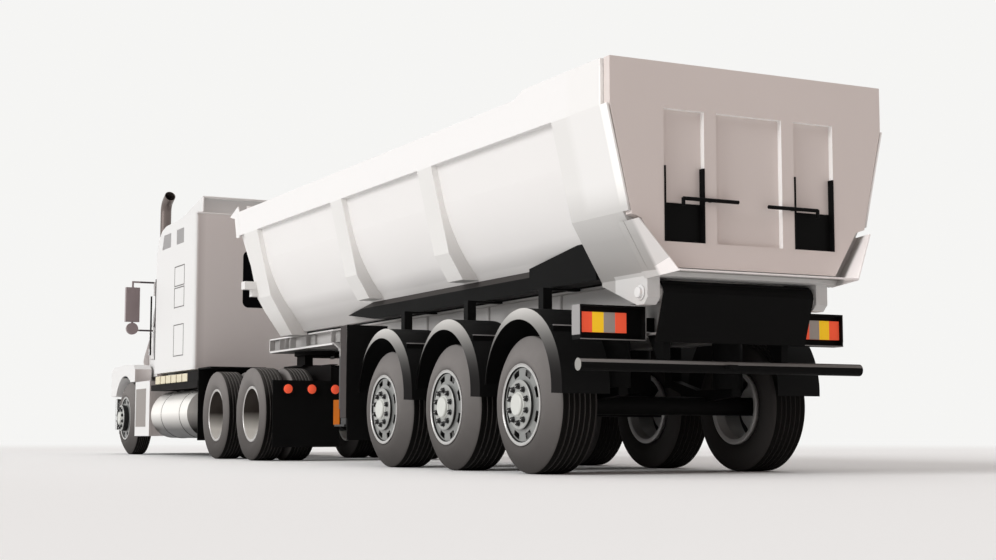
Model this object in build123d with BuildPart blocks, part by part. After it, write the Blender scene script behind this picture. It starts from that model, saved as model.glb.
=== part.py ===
from build123d import *
import os
from math import atan2, cos, radians, sin

# A sleeper tractor with a half-pipe tipping semi-trailer, in millimetres.
# +X is the vehicle's left side, +Y its rear and +Z up.  The origin is on the ground, midway
# between the front bumper and the lip of the tipping body's spout.

os.makedirs("parts", exist_ok=True)

SIDES = (1, -1)
SIDE_NAME = {1: "left", -1: "right"}

# ---- gaps ----
SEAT_GAP = 0.5       # between two bodies that rest on each other
PIN_GAP = 0.5        # round a pin, a shaft or a bead
PANEL_GAP = 8        # round a door, a hood or a gate
SWING_GAP = 40       # beside a panel that swings past

# ---- the whole vehicle ----
HALF_LENGTH = 7730
TYRE_R = 530
AXLE_Z = TYRE_R
STEER_Y = -6430
DRIVE_REAR_Y = -580
DRIVE_SPACING = 1370
KINGPIN_Y = -1030
LAST_AXLE_Y = 6120
TRAILER_SPACING = 1360
DRIVE_AXLES = {"front": DRIVE_REAR_Y - DRIVE_SPACING, "rear": DRIVE_REAR_Y}
TRAILER_AXLES = {
    "front": LAST_AXLE_Y - 2 * TRAILER_SPACING,
    "middle": LAST_AXLE_Y - TRAILER_SPACING,
    "rear": LAST_AXLE_Y,
}

# ---- wheels ----
SINGLE_OUTER = 1197      # outer face of a trailer tyre, from the centre plane
SINGLE_WIDTH = 360
STEER_OUTER = 1190
STEER_WIDTH = 305
DUAL_PLANE = 850         # the plane between twin wheels
DUAL_GAP = 40
DUAL_WIDTH = 320
# how far the bead seat stands in from a tyre's face, and the tread's edge from it
SINGLE_SECTION = {"bead": 20, "shoulder": 75}
TWIN_SECTION = {"bead": 45, "shoulder": 34}
BEAD_R = 300
LIP_R = 315
BULGE_R = 405
FLANGE = 8
RIM_WALL = 9
DISC_WALL = 14
DISC_DEPTH = 84           # of a single wheel's disc, from the bead seat's outer end
STUD_DEPTH = 36
STUD_FLAT_R = 202
DRUM_R = 185
HAT_LEAN = 10
HUB_CAP_R = 88
HUB_CAP_REACH = 45
SPINDLE_R = 45
HAND_HOLES = 10
HAND_HOLE_R = (222, 268)     # from and to this radius
HAND_HOLE_ARC = (13, 16)     # degrees of arc at those radii

# ---- tractor frame ----
RAIL_OUTER = 432
RAIL_TOP = 1090
RAIL_DEPTH = 270
RAIL_FLANGE = 80
RAIL_WALL = 10
RAIL_FRONT_Y = -7560
FLAP_Y = 70
RAIL_REAR_Y = FLAP_Y - 10 - SEAT_GAP
FIFTH_WHEEL_TOP = 1280
FIFTH_WHEEL_R = 455
KINGPIN_R = 25.4

# ---- tractor cab ----
CAB_FRONT_Y = -6120
CAB_HALF = 920
CAB_BOTTOM = 1130
CAB_ROOF = 2560
CAB_WALL = 40
COWL_Z = 1750
SCREEN_TOP = (-5640, 2500)
SLEEPER_FRONT_Y = -4930
SLEEPER_BACK_Y = -3030
SLEEPER_HALF = 1150
SLEEPER_WALL = CAB_WALL
SLEEPER_ROOF = 3180
CORNER_R = 55
DEFLECTOR_TOP = 3420
DEFLECTOR_HALF = 1000
DEFLECTOR_WALL = 14
DEFLECTOR_Y = (-4560, -3230)
DEFLECTOR_BACK = (-3300, -3290)
GLASS = 6

# ---- doors ----
DOOR_FRONT_Y = -6060
DOOR_REAR_Y = -5180
DOOR_Z = (1380, 2446)
DOOR_SLANT_Z = 1800
DOOR_SLANT_Y = -5672
DOOR_SWING = 70

# ---- hood ----
HOOD_REAR_Y = CAB_FRONT_Y - 16
HOOD_FRONT_Y = -7650
HOOD_WALL = 12
HOOD_PIVOT = (-7640, 850)
FENDER_HALF = 1200
FENDER_TOP = 1310
FENDER_BOTTOM = 1050
FENDER_TAIL_Y = -5830
ARCH_R = 620

# ---- trailer frame ----
BEAM_OUTER = 600
BEAM_FLANGE = 150
BEAM_WALL = 16
BEAM_TOP = 1450
NECK_BOTTOM = FIFTH_WHEEL_TOP + SEAT_GAP
FRAME_BOTTOM = 1030
NECK_FRONT_Y = -1600
FRAME_REAR_Y = 7170

# ---- tipping body ----
GATE_Y = 7510                # outer face of the gate
GATE_DEPTH = 80
BODY_REAR_Y = GATE_Y - GATE_DEPTH - 5
BODY_FRONT_TOP_Y = -1030
BODY_FRONT_FOOT_Y = -630
SKIN = 10
FLOOR_Z = 1470               # underside of the floor
FLOOR_HALF = 655
RAIL_Z = (2620, 2900)
RAIL_HALF = 1235
BODY_RAIL_WIDTH = 145
RIB_DEPTH_Z = (1430, 1870)
RIB_HALF = (800, 1060)
TIP_PIVOT = (7250, 1320)
TIP_RANGE = 45
GATE_PIVOT = (6687, 2932)
GATE_TOP = 2960

# ---- hoist ----
HOIST_Y = -1280
HOIST_Z = 1460
HOIST_EYE_Z = 2820
HOIST_STAGES = 6
HOIST_R = 100
HOIST_STEP = 12
HOIST_WALL = 6
HOIST_BOTTOM = 1340
HOIST_TOP = 2690

ROTATE = {"x": (0, 90, 0), "y": (90, 0, 0), "z": (0, 0, 0)}


def block(x, y, z, mode=Mode.ADD):
    """A block between the two values of each range, in the part being built."""
    centre = [(low + high) / 2 for low, high in (x, y, z)]
    with Locations(tuple(centre)):
        Box(abs(x[1] - x[0]), abs(y[1] - y[0]), abs(z[1] - z[0]), mode=mode)


def rod(along, centre, radius, length, mode=Mode.ADD):
    """A round bar along one axis, in the part being built."""
    with Locations(centre):
        Cylinder(radius, length, rotation=ROTATE[along], mode=mode)


def side_plate(outline, x, mode=Mode.ADD):
    """A plate with a (y, z) outline between the two values of x."""
    with BuildSketch(Plane.YZ.offset(min(x))) as sketch:
        with BuildLine():
            Polyline(*outline, close=True)
        make_face()
    extrude(sketch.sketch, amount=max(x) - min(x), mode=mode)


def cross_plate(outline, y, mode=Mode.ADD):
    """A plate with an (x, z) outline between the two values of y."""
    with BuildSketch(Plane.XZ.offset(-max(y))) as sketch:
        with BuildLine():
            Polyline(*outline, close=True)
        make_face()
    extrude(sketch.sketch, amount=max(y) - min(y), mode=mode)


def mirrored(outline):
    """The outline followed by its mirror image across the centre plane."""
    return list(outline) + [(-x, other) for x, other in reversed(outline)]


def save(part, name):
    """Labels a finished piece and writes its STEP file."""
    part.label = name
    export_step(part, f"parts/{name}.step")


# ======================================================================== wheels

def turned(outline, side, y):
    """A body turned about a wheel's axle, from (x, radius) points on its outline."""
    plane = Plane(origin=(0, y, AXLE_Z), x_dir=(1, 0, 0), z_dir=(0, -1, 0))
    with BuildSketch(plane) as sketch:
        with BuildLine():
            Polyline(*[(side * x, radius) for x, radius in outline], close=True)
        make_face()
    revolve(sketch.sketch, axis=Axis((0, y, AXLE_Z), (1, 0, 0)))


def tyre_outline(inner, outer, section):
    """Half section of a tyre between its two faces."""
    bead = section["bead"]
    shoulder = section["shoulder"]
    return [
        (inner + bead, BEAD_R), (inner + bead, LIP_R + PIN_GAP), (inner, BULGE_R),
        (inner + shoulder, TYRE_R), (outer - shoulder, TYRE_R), (outer, BULGE_R),
        (outer - bead, LIP_R + PIN_GAP), (outer - bead, BEAD_R),
    ]


def single_rim_outline(inner, outer):
    """Half section of a rim with an outboard disc, hub, drum and hub cap."""
    seat_r = BEAD_R - PIN_GAP
    barrel_r = seat_r - RIM_WALL
    bead = SINGLE_SECTION["bead"]
    rear = inner + bead - PIN_GAP - FLANGE
    front = outer - bead + PIN_GAP
    disc = front - DISC_DEPTH
    stud = front - STUD_DEPTH
    cap = front + FLANGE + HUB_CAP_REACH
    return [
        (rear, barrel_r), (rear, LIP_R), (rear + FLANGE, LIP_R), (rear + FLANGE, seat_r),
        (front, seat_r), (front, LIP_R), (front + FLANGE, LIP_R), (front + FLANGE, barrel_r),
        (disc + DISC_WALL, barrel_r), (disc + DISC_WALL, STUD_FLAT_R + HAT_LEAN),
        (stud + DISC_WALL, STUD_FLAT_R), (stud + DISC_WALL, HUB_CAP_R),
        (cap, HUB_CAP_R - 6), (cap, 0), (cap - 40, 0), (cap - 40, SPINDLE_R + PIN_GAP),
        (inner + 150, SPINDLE_R + PIN_GAP), (inner + 150, DRUM_R), (disc, DRUM_R), (disc, barrel_r),
    ]


def dual_rim_outline(reach_in, hub_r):
    """Half section of one of two twin rims, from the plane between them outwards."""
    seat_r = BEAD_R - PIN_GAP
    barrel_r = seat_r - RIM_WALL
    bead = TWIN_SECTION["bead"]
    near = DUAL_GAP / 2 + bead - PIN_GAP - FLANGE
    far = DUAL_GAP / 2 + DUAL_WIDTH - bead + PIN_GAP
    return [
        (0, SPINDLE_R + PIN_GAP), (0, STUD_FLAT_R), (near + 12, barrel_r), (near, barrel_r),
        (near, LIP_R), (near + FLANGE, LIP_R), (near + FLANGE, seat_r), (far, seat_r),
        (far, LIP_R), (far + FLANGE, LIP_R), (far + FLANGE, barrel_r),
        (near + 12 + DISC_WALL, barrel_r), (DISC_WALL, STUD_FLAT_R - 4), (DISC_WALL, hub_r),
        (reach_in, hub_r), (reach_in, SPINDLE_R + PIN_GAP),
    ]


def cut_hand_holes(side, y, inner, outer):
    """Cuts the ring of tapered hand holes through a wheel's disc."""
    spots = [(radius, sign * arc / 2)
             for radius, arc, signs in zip(HAND_HOLE_R, HAND_HOLE_ARC, ((1, -1), (-1, 1)))
             for sign in signs]
    corners = [(r * cos(radians(a)), r * sin(radians(a))) for r, a in spots]
    plane = Plane(origin=(side * (inner + outer) / 2, y, AXLE_Z), x_dir=(0, 1, 0), z_dir=(1, 0, 0))
    with BuildSketch(plane) as sketch:
        with PolarLocations(0, HAND_HOLES):
            Polygon(*corners, align=None)
    extrude(sketch.sketch, amount=side * (outer - inner), mode=Mode.SUBTRACT)


def single_wheel(name, side, y, outer, width):
    """Writes a single wheel's tyre and rim."""
    inner = outer - width
    with BuildPart() as tyre:
        turned(tyre_outline(inner, outer, SINGLE_SECTION), side, y)
    save(tyre.part, f"tyre_{name}")
    with BuildPart() as rim:
        turned(single_rim_outline(inner, outer), side, y)
        cut_hand_holes(side, y, inner, outer)
    save(rim.part, f"rim_{name}")


def twin_wheel(name, side, y):
    """Writes a pair of twin tyres and their joined rims."""
    with BuildPart() as tyres:
        for row in (1, -1):
            near = DUAL_PLANE + row * DUAL_GAP / 2
            far = near + row * DUAL_WIDTH
            turned(tyre_outline(min(near, far), max(near, far), TWIN_SECTION), side, y)
    save(tyres.part, f"tyres_{name}")
    with BuildPart() as rims:
        for row, reach, hub_r in ((1, 150, 110), (-1, 225, DRUM_R)):
            outline = [(DUAL_PLANE + row * u, r) for u, r in dual_rim_outline(reach, hub_r)]
            turned(outline, side, y)
        rod("x", (side * (DUAL_PLANE + 145), y, AXLE_Z), SPINDLE_R + 2 * PIN_GAP, 10)
    save(rims.part, f"rims_{name}")


for side in SIDES:
    single_wheel(f"steer_{SIDE_NAME[side]}", side, STEER_Y, STEER_OUTER, STEER_WIDTH)
    for row, y in DRIVE_AXLES.items():
        twin_wheel(f"drive_{row}_{SIDE_NAME[side]}", side, y)
    for row, y in TRAILER_AXLES.items():
        single_wheel(f"trailer_{row}_{SIDE_NAME[side]}", side, y, SINGLE_OUTER, SINGLE_WIDTH)

# ======================================================================== tractor frame

RAIL_BOTTOM = RAIL_TOP - RAIL_DEPTH
RAIL_INNER = RAIL_OUTER - RAIL_FLANGE
RAIL_Y = (RAIL_FRONT_Y, RAIL_REAR_Y)
CROSS_MEMBERS = (-7500, -5600, -4300, -3000, -1300, -750, 15)
OUTRIGGERS = (-4700, -3700, -2760)
BOARD_X = (800, FENDER_HALF)
BOARD_Y = (-4910, -2622)
BOARD_Z = (892, 970)
HINGE_EYE_X = (290, 345)
HINGE_PIN_R = 15
BUMPER_FRONT = -HALF_LENGTH
BUMPER_WALL = 12
TOW_X = 392
TOW_Z = 435
TOW_R = 22
TOW_EYE_Y = BUMPER_FRONT + 42

with BuildPart() as tractor_frame:
    for side in SIDES:
        block((side * (RAIL_OUTER - RAIL_WALL), side * RAIL_OUTER), RAIL_Y, (RAIL_BOTTOM, RAIL_TOP))
        for z in (RAIL_BOTTOM, RAIL_TOP - RAIL_WALL):
            block((side * RAIL_INNER, side * RAIL_OUTER), RAIL_Y, (z, z + RAIL_WALL))
        # bumper bracket, and the fork of the hood's hinge
        block((side * 352, side * 432), (RAIL_FRONT_Y - 40, RAIL_FRONT_Y), (500, RAIL_TOP))
        block((side * 352, side * 432), (BUMPER_FRONT + BUMPER_WALL, RAIL_FRONT_Y), (500, 800))
        block((side * 352, side * 372), (HOOD_PIVOT[0] - 25, RAIL_FRONT_Y), (800, 878))
        # towing lug behind its window in the bumper
        block((side * (TOW_X - 20), side * (TOW_X + 20)), (-7650, RAIL_FRONT_Y), (TOW_Z + 15, 520))
        block((side * (TOW_X - 35), side * (TOW_X + 35)), (BUMPER_FRONT + 2, RAIL_FRONT_Y), (TOW_Z - 15, TOW_Z + 15))
        rod("z", (side * TOW_X, TOW_EYE_Y, TOW_Z), TOW_R, 40, mode=Mode.SUBTRACT)
        rod("x", (side * (HINGE_EYE_X[0] + 372) / 2, *HOOD_PIVOT), HINGE_PIN_R, 372 - HINGE_EYE_X[0])
        # running board over the fuel tank, on its outriggers
        block([side * x for x in BOARD_X], BOARD_Y, BOARD_Z)
        for y in OUTRIGGERS:
            block((side * RAIL_OUTER, side * BOARD_X[0]), (y, y + 80), BOARD_Z)
    for y in CROSS_MEMBERS:
        block((RAIL_WALL - RAIL_OUTER, RAIL_OUTER - RAIL_WALL), (y - 40, y + 40), (RAIL_BOTTOM + 40, RAIL_TOP - 40))
    # cab mounts
    for y in (-5900, -4800, -3200):
        block((-500, 500), (y, y + 120), (RAIL_TOP, CAB_BOTTOM))
    # fifth wheel: base, stand and slotted plate with its rear ramps
    block((-500, 500), (KINGPIN_Y - 330, KINGPIN_Y + 330), (RAIL_TOP, RAIL_TOP + 20))
    for side in SIDES:
        block((side * 300, side * 400), (KINGPIN_Y - 140, KINGPIN_Y + 140), (RAIL_TOP + 20, FIFTH_WHEEL_TOP - 50))
    with BuildSketch(Plane.XY.offset(FIFTH_WHEEL_TOP - 50)):
        with Locations((0, KINGPIN_Y)):
            Circle(FIFTH_WHEEL_R)
            Circle(KINGPIN_R + PIN_GAP, mode=Mode.SUBTRACT)
        with BuildLine():
            Polyline((-KINGPIN_R - PIN_GAP, KINGPIN_Y), (KINGPIN_R + PIN_GAP, KINGPIN_Y),
                     (140, KINGPIN_Y + FIFTH_WHEEL_R + 10), (-140, KINGPIN_Y + FIFTH_WHEEL_R + 10), close=True)
        make_face(mode=Mode.SUBTRACT)
    extrude(amount=50)
save(tractor_frame.part, "tractor_frame")

BUMPER_Z = (300, 830)
# corners of the bumper's outer face and of its inner face, from the side to the front
BUMPER_PLAN = [(1010, -7500), (950, -7660), (780, BUMPER_FRONT)]
BUMPER_INNER = [(998, -7500), (941, -7652), (776, BUMPER_FRONT + BUMPER_WALL)]

with BuildPart() as front_bumper:
    with BuildSketch(Plane.XY.offset(BUMPER_Z[0])):
        with BuildLine():
            Polyline(*mirrored(BUMPER_PLAN), *reversed(mirrored(BUMPER_INNER)), close=True)
        make_face()
    extrude(amount=BUMPER_Z[1] - BUMPER_Z[0])
    for side in SIDES:
        block((side * (TOW_X - 60), side * (TOW_X + 60)), (BUMPER_FRONT - 10, BUMPER_FRONT + 60),
              (TOW_Z - 55, TOW_Z + 55), mode=Mode.SUBTRACT)
save(front_bumper.part, "front_bumper")

with BuildPart() as engine:
    block((-330, 330), (-7330, -6160), (700, 1480))
    block((RAIL_WALL - RAIL_OUTER, RAIL_OUTER - RAIL_WALL), (-6900, -6820), (860, 1050))
    block((-440, 440), (-7450, -7370), (RAIL_TOP, 1440))
save(engine.part, "engine")

# ======================================================================== cab

SCREEN_LEAN = atan2(SCREEN_TOP[1] - COWL_Z, SCREEN_TOP[0] - CAB_FRONT_Y)


def screen_point(z, depth=0):
    """A point on the windscreen's slope at a height, moved in square to the slope."""
    y = CAB_FRONT_Y + (z - COWL_Z) / (SCREEN_TOP[1] - COWL_Z) * (SCREEN_TOP[0] - CAB_FRONT_Y)
    return (y + depth * sin(SCREEN_LEAN), z - depth * cos(SCREEN_LEAN))


def sleeper_outline(inset):
    """Side outline of the sleeper, moved in by the thickness of its wall."""
    front = SLEEPER_FRONT_Y + inset
    back = SLEEPER_BACK_Y - inset
    return [
        (front, CAB_BOTTOM + inset), (front, 2760), (front + 90, 2990 - inset / 2),
        (front + 260, 3105 - inset), (front + 480, 3150 - inset), (back, SLEEPER_ROOF - inset),
        (back, CAB_BOTTOM + inset),
    ]


SCREEN_Z = (1810, 2440)
SCREEN_HALF = 790
DOOR_OUTLINE = [
    (DOOR_FRONT_Y, DOOR_Z[0]), (DOOR_FRONT_Y, DOOR_SLANT_Z), (DOOR_SLANT_Y, DOOR_Z[1]),
    (DOOR_REAR_Y, DOOR_Z[1]), (DOOR_REAR_Y, DOOR_Z[0]),
]
REAR_WINDOW = {"x": 500, "z": (1950, 2700), "r": 80}
SIDE_WINDOWS = {
    "front": [(-4640, 2835), (-4560, 3030), (-4200, 3030), (-4200, 2835)],
    "rear": [(-3910, 2835), (-3910, 3035), (-3560, 3035), (-3560, 2835)],
}

HINGE_AXIS = (CAB_HALF + 14, DOOR_FRONT_Y + 4)
HINGE_BARREL_R = 12
DOOR_PIN_R = 6
DOOR_HINGES = ((1450, 1530), (1690, 1770))

with BuildPart() as cab_shell:
    side_plate([(CAB_FRONT_Y, CAB_BOTTOM), (CAB_FRONT_Y, COWL_Z), SCREEN_TOP,
                (SCREEN_TOP[0] + 110, CAB_ROOF), (SLEEPER_FRONT_Y + 10, CAB_ROOF + 20),
                (SLEEPER_FRONT_Y + 10, CAB_BOTTOM)], (-CAB_HALF, CAB_HALF))
    side_plate(sleeper_outline(0), (-SLEEPER_HALF, SLEEPER_HALF))
    corners = cab_shell.edges().filter_by(Axis.Z).filter_by(
        lambda edge: abs(edge.center().Y - SLEEPER_BACK_Y) < 1)
    fillet(corners, CORNER_R)
    # the hollow inside
    side_plate([(CAB_FRONT_Y + CAB_WALL, CAB_BOTTOM + CAB_WALL), (CAB_FRONT_Y + CAB_WALL, COWL_Z - 12),
                (SCREEN_TOP[0] + 36, SCREEN_TOP[1] - CAB_WALL), (SCREEN_TOP[0] + 120, CAB_ROOF - CAB_WALL),
                (SLEEPER_FRONT_Y + 100, CAB_ROOF + 20 - CAB_WALL),
                (SLEEPER_FRONT_Y + 100, CAB_BOTTOM + CAB_WALL)],
               (CAB_WALL - CAB_HALF, CAB_HALF - CAB_WALL), mode=Mode.SUBTRACT)
    side_plate(sleeper_outline(SLEEPER_WALL), (SLEEPER_WALL - SLEEPER_HALF, SLEEPER_HALF - SLEEPER_WALL),
               mode=Mode.SUBTRACT)
    # the windscreen, the doorways and the windows
    side_plate([screen_point(SCREEN_Z[0], -60), screen_point(SCREEN_Z[1], -60),
                screen_point(SCREEN_Z[1], 90), screen_point(SCREEN_Z[0], 90)],
               (-SCREEN_HALF, SCREEN_HALF), mode=Mode.SUBTRACT)
    for side in SIDES:
        side_plate(DOOR_OUTLINE, (side * (CAB_HALF - 2 * CAB_WALL), side * (CAB_HALF + CAB_WALL)),
                   mode=Mode.SUBTRACT)
        for outline in SIDE_WINDOWS.values():
            side_plate(outline, (side * (SLEEPER_HALF - 2 * SLEEPER_WALL), side * (SLEEPER_HALF + 10)),
                       mode=Mode.SUBTRACT)
    with BuildSketch(Plane.XZ.offset(-SLEEPER_BACK_Y - 10)):
        with Locations((0, sum(REAR_WINDOW["z"]) / 2)):
            RectangleRounded(2 * REAR_WINDOW["x"], REAR_WINDOW["z"][1] - REAR_WINDOW["z"][0], REAR_WINDOW["r"])
    extrude(amount=3 * SLEEPER_WALL, mode=Mode.SUBTRACT)
    # hinge pins of the doors, on their plates
    for side in SIDES:
        for low, high in DOOR_HINGES:
            rod("z", (side * HINGE_AXIS[0], HINGE_AXIS[1], (low + high) / 2), DOOR_PIN_R, high - low)
            for z in ((low, low + 20), (high - 20, high)):
                block((side * CAB_HALF, side * (HINGE_AXIS[0] + 8)), (HINGE_AXIS[1] - 44, HINGE_AXIS[1] - 4), z)
                rod("z", (side * HINGE_AXIS[0], HINGE_AXIS[1], sum(z) / 2), HINGE_BARREL_R, 20)
    # the roof deflector, with a sunk back panel and a vent into the sleeper below
    side_plate([(DEFLECTOR_Y[0], 3130), (DEFLECTOR_Y[0] + 60, 3190), (DEFLECTOR_Y[1], DEFLECTOR_TOP),
                (DEFLECTOR_Y[1], 3170)], (-DEFLECTOR_HALF, DEFLECTOR_HALF))
    side_plate([(DEFLECTOR_Y[0] + 80, 3185), (DEFLECTOR_Y[0] + 90, 3190),
                (DEFLECTOR_Y[1] + 10, DEFLECTOR_TOP - DEFLECTOR_WALL), (DEFLECTOR_Y[1] + 10, 3185)],
               (DEFLECTOR_WALL - DEFLECTOR_HALF, DEFLECTOR_HALF - DEFLECTOR_WALL), mode=Mode.SUBTRACT)
    block((-DEFLECTOR_HALF, DEFLECTOR_HALF), DEFLECTOR_BACK, (3170, DEFLECTOR_TOP - DEFLECTOR_WALL))
    block((-200, 200), (-4100, -3700), (3080, 3200), mode=Mode.SUBTRACT)
save(cab_shell.part, "cab_shell")

with BuildPart() as cab_glass:
    side_plate([screen_point(SCREEN_Z[0], 12), screen_point(SCREEN_Z[1], 12),
                screen_point(SCREEN_Z[1], 12 + GLASS), screen_point(SCREEN_Z[0], 12 + GLASS)],
               (-SCREEN_HALF, SCREEN_HALF))
    for side in SIDES:
        for outline in SIDE_WINDOWS.values():
            side_plate(outline, (side * (SLEEPER_HALF - 12 - GLASS), side * (SLEEPER_HALF - 12)))
    with BuildSketch(Plane.XZ.offset(-SLEEPER_BACK_Y + 12)):
        with Locations((0, sum(REAR_WINDOW["z"]) / 2)):
            RectangleRounded(2 * REAR_WINDOW["x"], REAR_WINDOW["z"][1] - REAR_WINDOW["z"][0], REAR_WINDOW["r"])
    extrude(amount=GLASS)
save(cab_glass.part, "cab_glass")

CABIN_FLOOR = CAB_BOTTOM + CAB_WALL
SEAT_X = 430
SEAT_Y = -5250

with BuildPart() as cab_interior:
    for side in SIDES:
        centre = side * SEAT_X
        block((centre - 110, centre + 110), (SEAT_Y - 150, SEAT_Y + 150), (CABIN_FLOOR, 1460))
        block((centre - 250, centre + 250), (SEAT_Y - 260, SEAT_Y + 260), (1460, 1590))
        side_plate([(SEAT_Y + 180, 1590), (SEAT_Y + 290, 2260), (SEAT_Y + 390, 2260), (SEAT_Y + 290, 1590)],
                   (centre - 240, centre + 240))
    # dashboard, steering column and wheel
    side_plate([(CAB_FRONT_Y + CAB_WALL, 1400), (CAB_FRONT_Y + CAB_WALL, 1690), (-5880, 1730), (-5800, 1640), (-5830, 1400)], (-860, 860))
    with BuildSketch(Plane(origin=(SEAT_X, -5850, 1523), z_dir=(0, 0.8, 0.6))):
        Circle(25)
    extrude(amount=215)
    with BuildSketch(Plane(origin=(SEAT_X, -5680, 1650), z_dir=(0, 0.8, 0.6))):
        Circle(225)
        Circle(195, mode=Mode.SUBTRACT)
        Rectangle(400, 40)
        Rectangle(40, 400)
    extrude(amount=25)
    # bunk and its base
    block((-1000, 1000), (-3900, -3120), (CABIN_FLOOR, 1600))
    block((-1000, 1000), (-3900, -3120), (1600, 1740))
save(cab_interior.part, "cab_interior")

# ======================================================================== doors

MIRROR_Y = -5805
MIRROR_X = (1165, 1365)
MIRROR_Z = (1910, 2410)
MIRROR_ARMS = {"upper": 2490, "lower": 1790}
ROUND_MIRROR_Z = 1812
ROUND_MIRROR_R = 85
DOOR_INSET = PANEL_GAP
WINDOW_OUTLINE = [(-5950, 1850), (-5645, 2375), (-5260, 2375), (-5260, 1850)]
DOOR_PANEL = [
    (DOOR_FRONT_Y + DOOR_INSET, DOOR_Z[0] + DOOR_INSET), (DOOR_FRONT_Y + DOOR_INSET, DOOR_SLANT_Z - 2),
    (DOOR_SLANT_Y + DOOR_INSET - 3, DOOR_Z[1] - DOOR_INSET), (DOOR_REAR_Y - DOOR_INSET, DOOR_Z[1] - DOOR_INSET),
    (DOOR_REAR_Y - DOOR_INSET, DOOR_Z[0] + DOOR_INSET),
]

for side in SIDES:
    name = SIDE_NAME[side]
    with BuildPart() as door:
        side_plate(DOOR_PANEL, (side * (CAB_HALF - CAB_WALL), side * CAB_HALF))
        side_plate(WINDOW_OUTLINE, (side * (CAB_HALF - 2 * CAB_WALL), side * (CAB_HALF + CAB_WALL)),
                   mode=Mode.SUBTRACT)
        # hinge barrels round the cab's pins
        for low, high in DOOR_HINGES:
            block((side * CAB_HALF, side * (HINGE_AXIS[0] + 8)), (HINGE_AXIS[1] + 4, HINGE_AXIS[1] + 50),
                  (low + 22, high - 22))
            rod("z", (side * HINGE_AXIS[0], HINGE_AXIS[1], (low + high) / 2), HINGE_BARREL_R, high - low - 44)
            rod("z", (side * HINGE_AXIS[0], HINGE_AXIS[1], (low + high) / 2), DOOR_PIN_R + PIN_GAP, high - low,
                mode=Mode.SUBTRACT)
        # mirror arms, the tall mirror and the round one under it
        middle = side * sum(MIRROR_X) / 2
        block((side * CAB_HALF, middle), (MIRROR_Y - 12, MIRROR_Y + 12),
              (MIRROR_ARMS["lower"] - 12, MIRROR_ARMS["lower"] + 12))
        block((side * (CAB_HALF + 14), middle + side * 12), (MIRROR_Y - 12, MIRROR_Y + 12),
              (MIRROR_ARMS["upper"] - 12, MIRROR_ARMS["upper"] + 12))
        block((middle - 12, middle + 12), (MIRROR_Y - 12, MIRROR_Y + 12), (MIRROR_Z[0], MIRROR_ARMS["upper"] + 12))
        block((side * (CAB_HALF + 14), side * (CAB_HALF + 38)), (MIRROR_Y - 12, MIRROR_Y + 12),
              (2300, MIRROR_ARMS["upper"] + 12))
        block((side * CAB_HALF, side * (CAB_HALF + 38)), (MIRROR_Y - 12, MIRROR_Y + 12), (2300, 2330))
        block([side * x for x in MIRROR_X], (MIRROR_Y - 45, MIRROR_Y + 25), MIRROR_Z)
        rod("y", (middle, MIRROR_Y, ROUND_MIRROR_Z), ROUND_MIRROR_R, 50)
        block((middle - 12, middle + 12), (MIRROR_Y - 12, MIRROR_Y + 12), (ROUND_MIRROR_Z, MIRROR_Z[0]))
    save(door.part, f"door_{name}")
    with BuildPart() as door_glass:
        side_plate(WINDOW_OUTLINE, (side * (CAB_HALF - 24), side * (CAB_HALF - 24 + GLASS)))
    save(door_glass.part, f"door_glass_{name}")

# ======================================================================== tractor's own pieces

TANK_R = 320
TANK_X = 880
TANK_Z = 565
TANK_Y = (-4880, -3080)

with BuildPart() as fuel_tanks:
    for side in SIDES:
        rod("y", (side * TANK_X, sum(TANK_Y) / 2, TANK_Z), TANK_R, TANK_Y[1] - TANK_Y[0])
        for y in (-4380, -3480):
            rod("y", (side * TANK_X, y, TANK_Z), TANK_R + 5, 60)
            block((side * (RAIL_OUTER + SEAT_GAP), side * (TANK_X - 200)), (y - 30, y + 30),
                  (RAIL_BOTTOM, BOARD_Z[0] - SEAT_GAP))
save(fuel_tanks.part, "fuel_tanks")

STACK_X = 1000
STACK_Y = -5060
STACK_R = 75
STACK_FOOT = 1040 + SEAT_GAP
STACK_BEND = (3430, 170, 65)     # height, radius and degrees of the bend

with BuildPart() as exhaust_stacks:
    for side in SIDES:
        plane = Plane(origin=(side * STACK_X, STACK_Y, STACK_FOOT), x_dir=(0, 1, 0), z_dir=(1, 0, 0))
        for radius, mode in ((STACK_R, Mode.ADD), (STACK_R - 6, Mode.SUBTRACT)):
            start = 0 if mode == Mode.ADD else 400
            with BuildLine(plane) as path:
                up = Line((0, start), (0, STACK_BEND[0] - STACK_FOOT))
                bend = JernArc(up @ 1, up % 1, STACK_BEND[1], -STACK_BEND[2])
                Line(bend @ 1, bend @ 1 + (bend % 1) * (120 if mode == Mode.ADD else 121))
            with BuildSketch(Plane(origin=path.wires()[0] @ 0, z_dir=(0, 0, 1))):
                Circle(radius)
            sweep(path=path.wires()[0], mode=mode)
save(exhaust_stacks.part, "exhaust_stacks")

STEP_X = (700, FENDER_HALF)
STEP_Y = (-5780, -4980)
STEP_Z = (270, 1040)

with BuildPart() as side_steps:
    for side in SIDES:
        block([side * x for x in STEP_X], STEP_Y, STEP_Z)
        block((side * (STEP_X[1] - 90), side * (STEP_X[1] + 10)), (-5560, -5180), (470, 900), mode=Mode.SUBTRACT)
        block((side * (RAIL_OUTER + SEAT_GAP), side * STEP_X[0]), (-5500, -5300), (860, 1000))
save(side_steps.part, "side_steps")

FLAP_X = (330, 1120)
FLAP_LAMPS = (390, 670, 950)
FLAP_LAMP_R = 55
GUARD_Y = -2600

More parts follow.
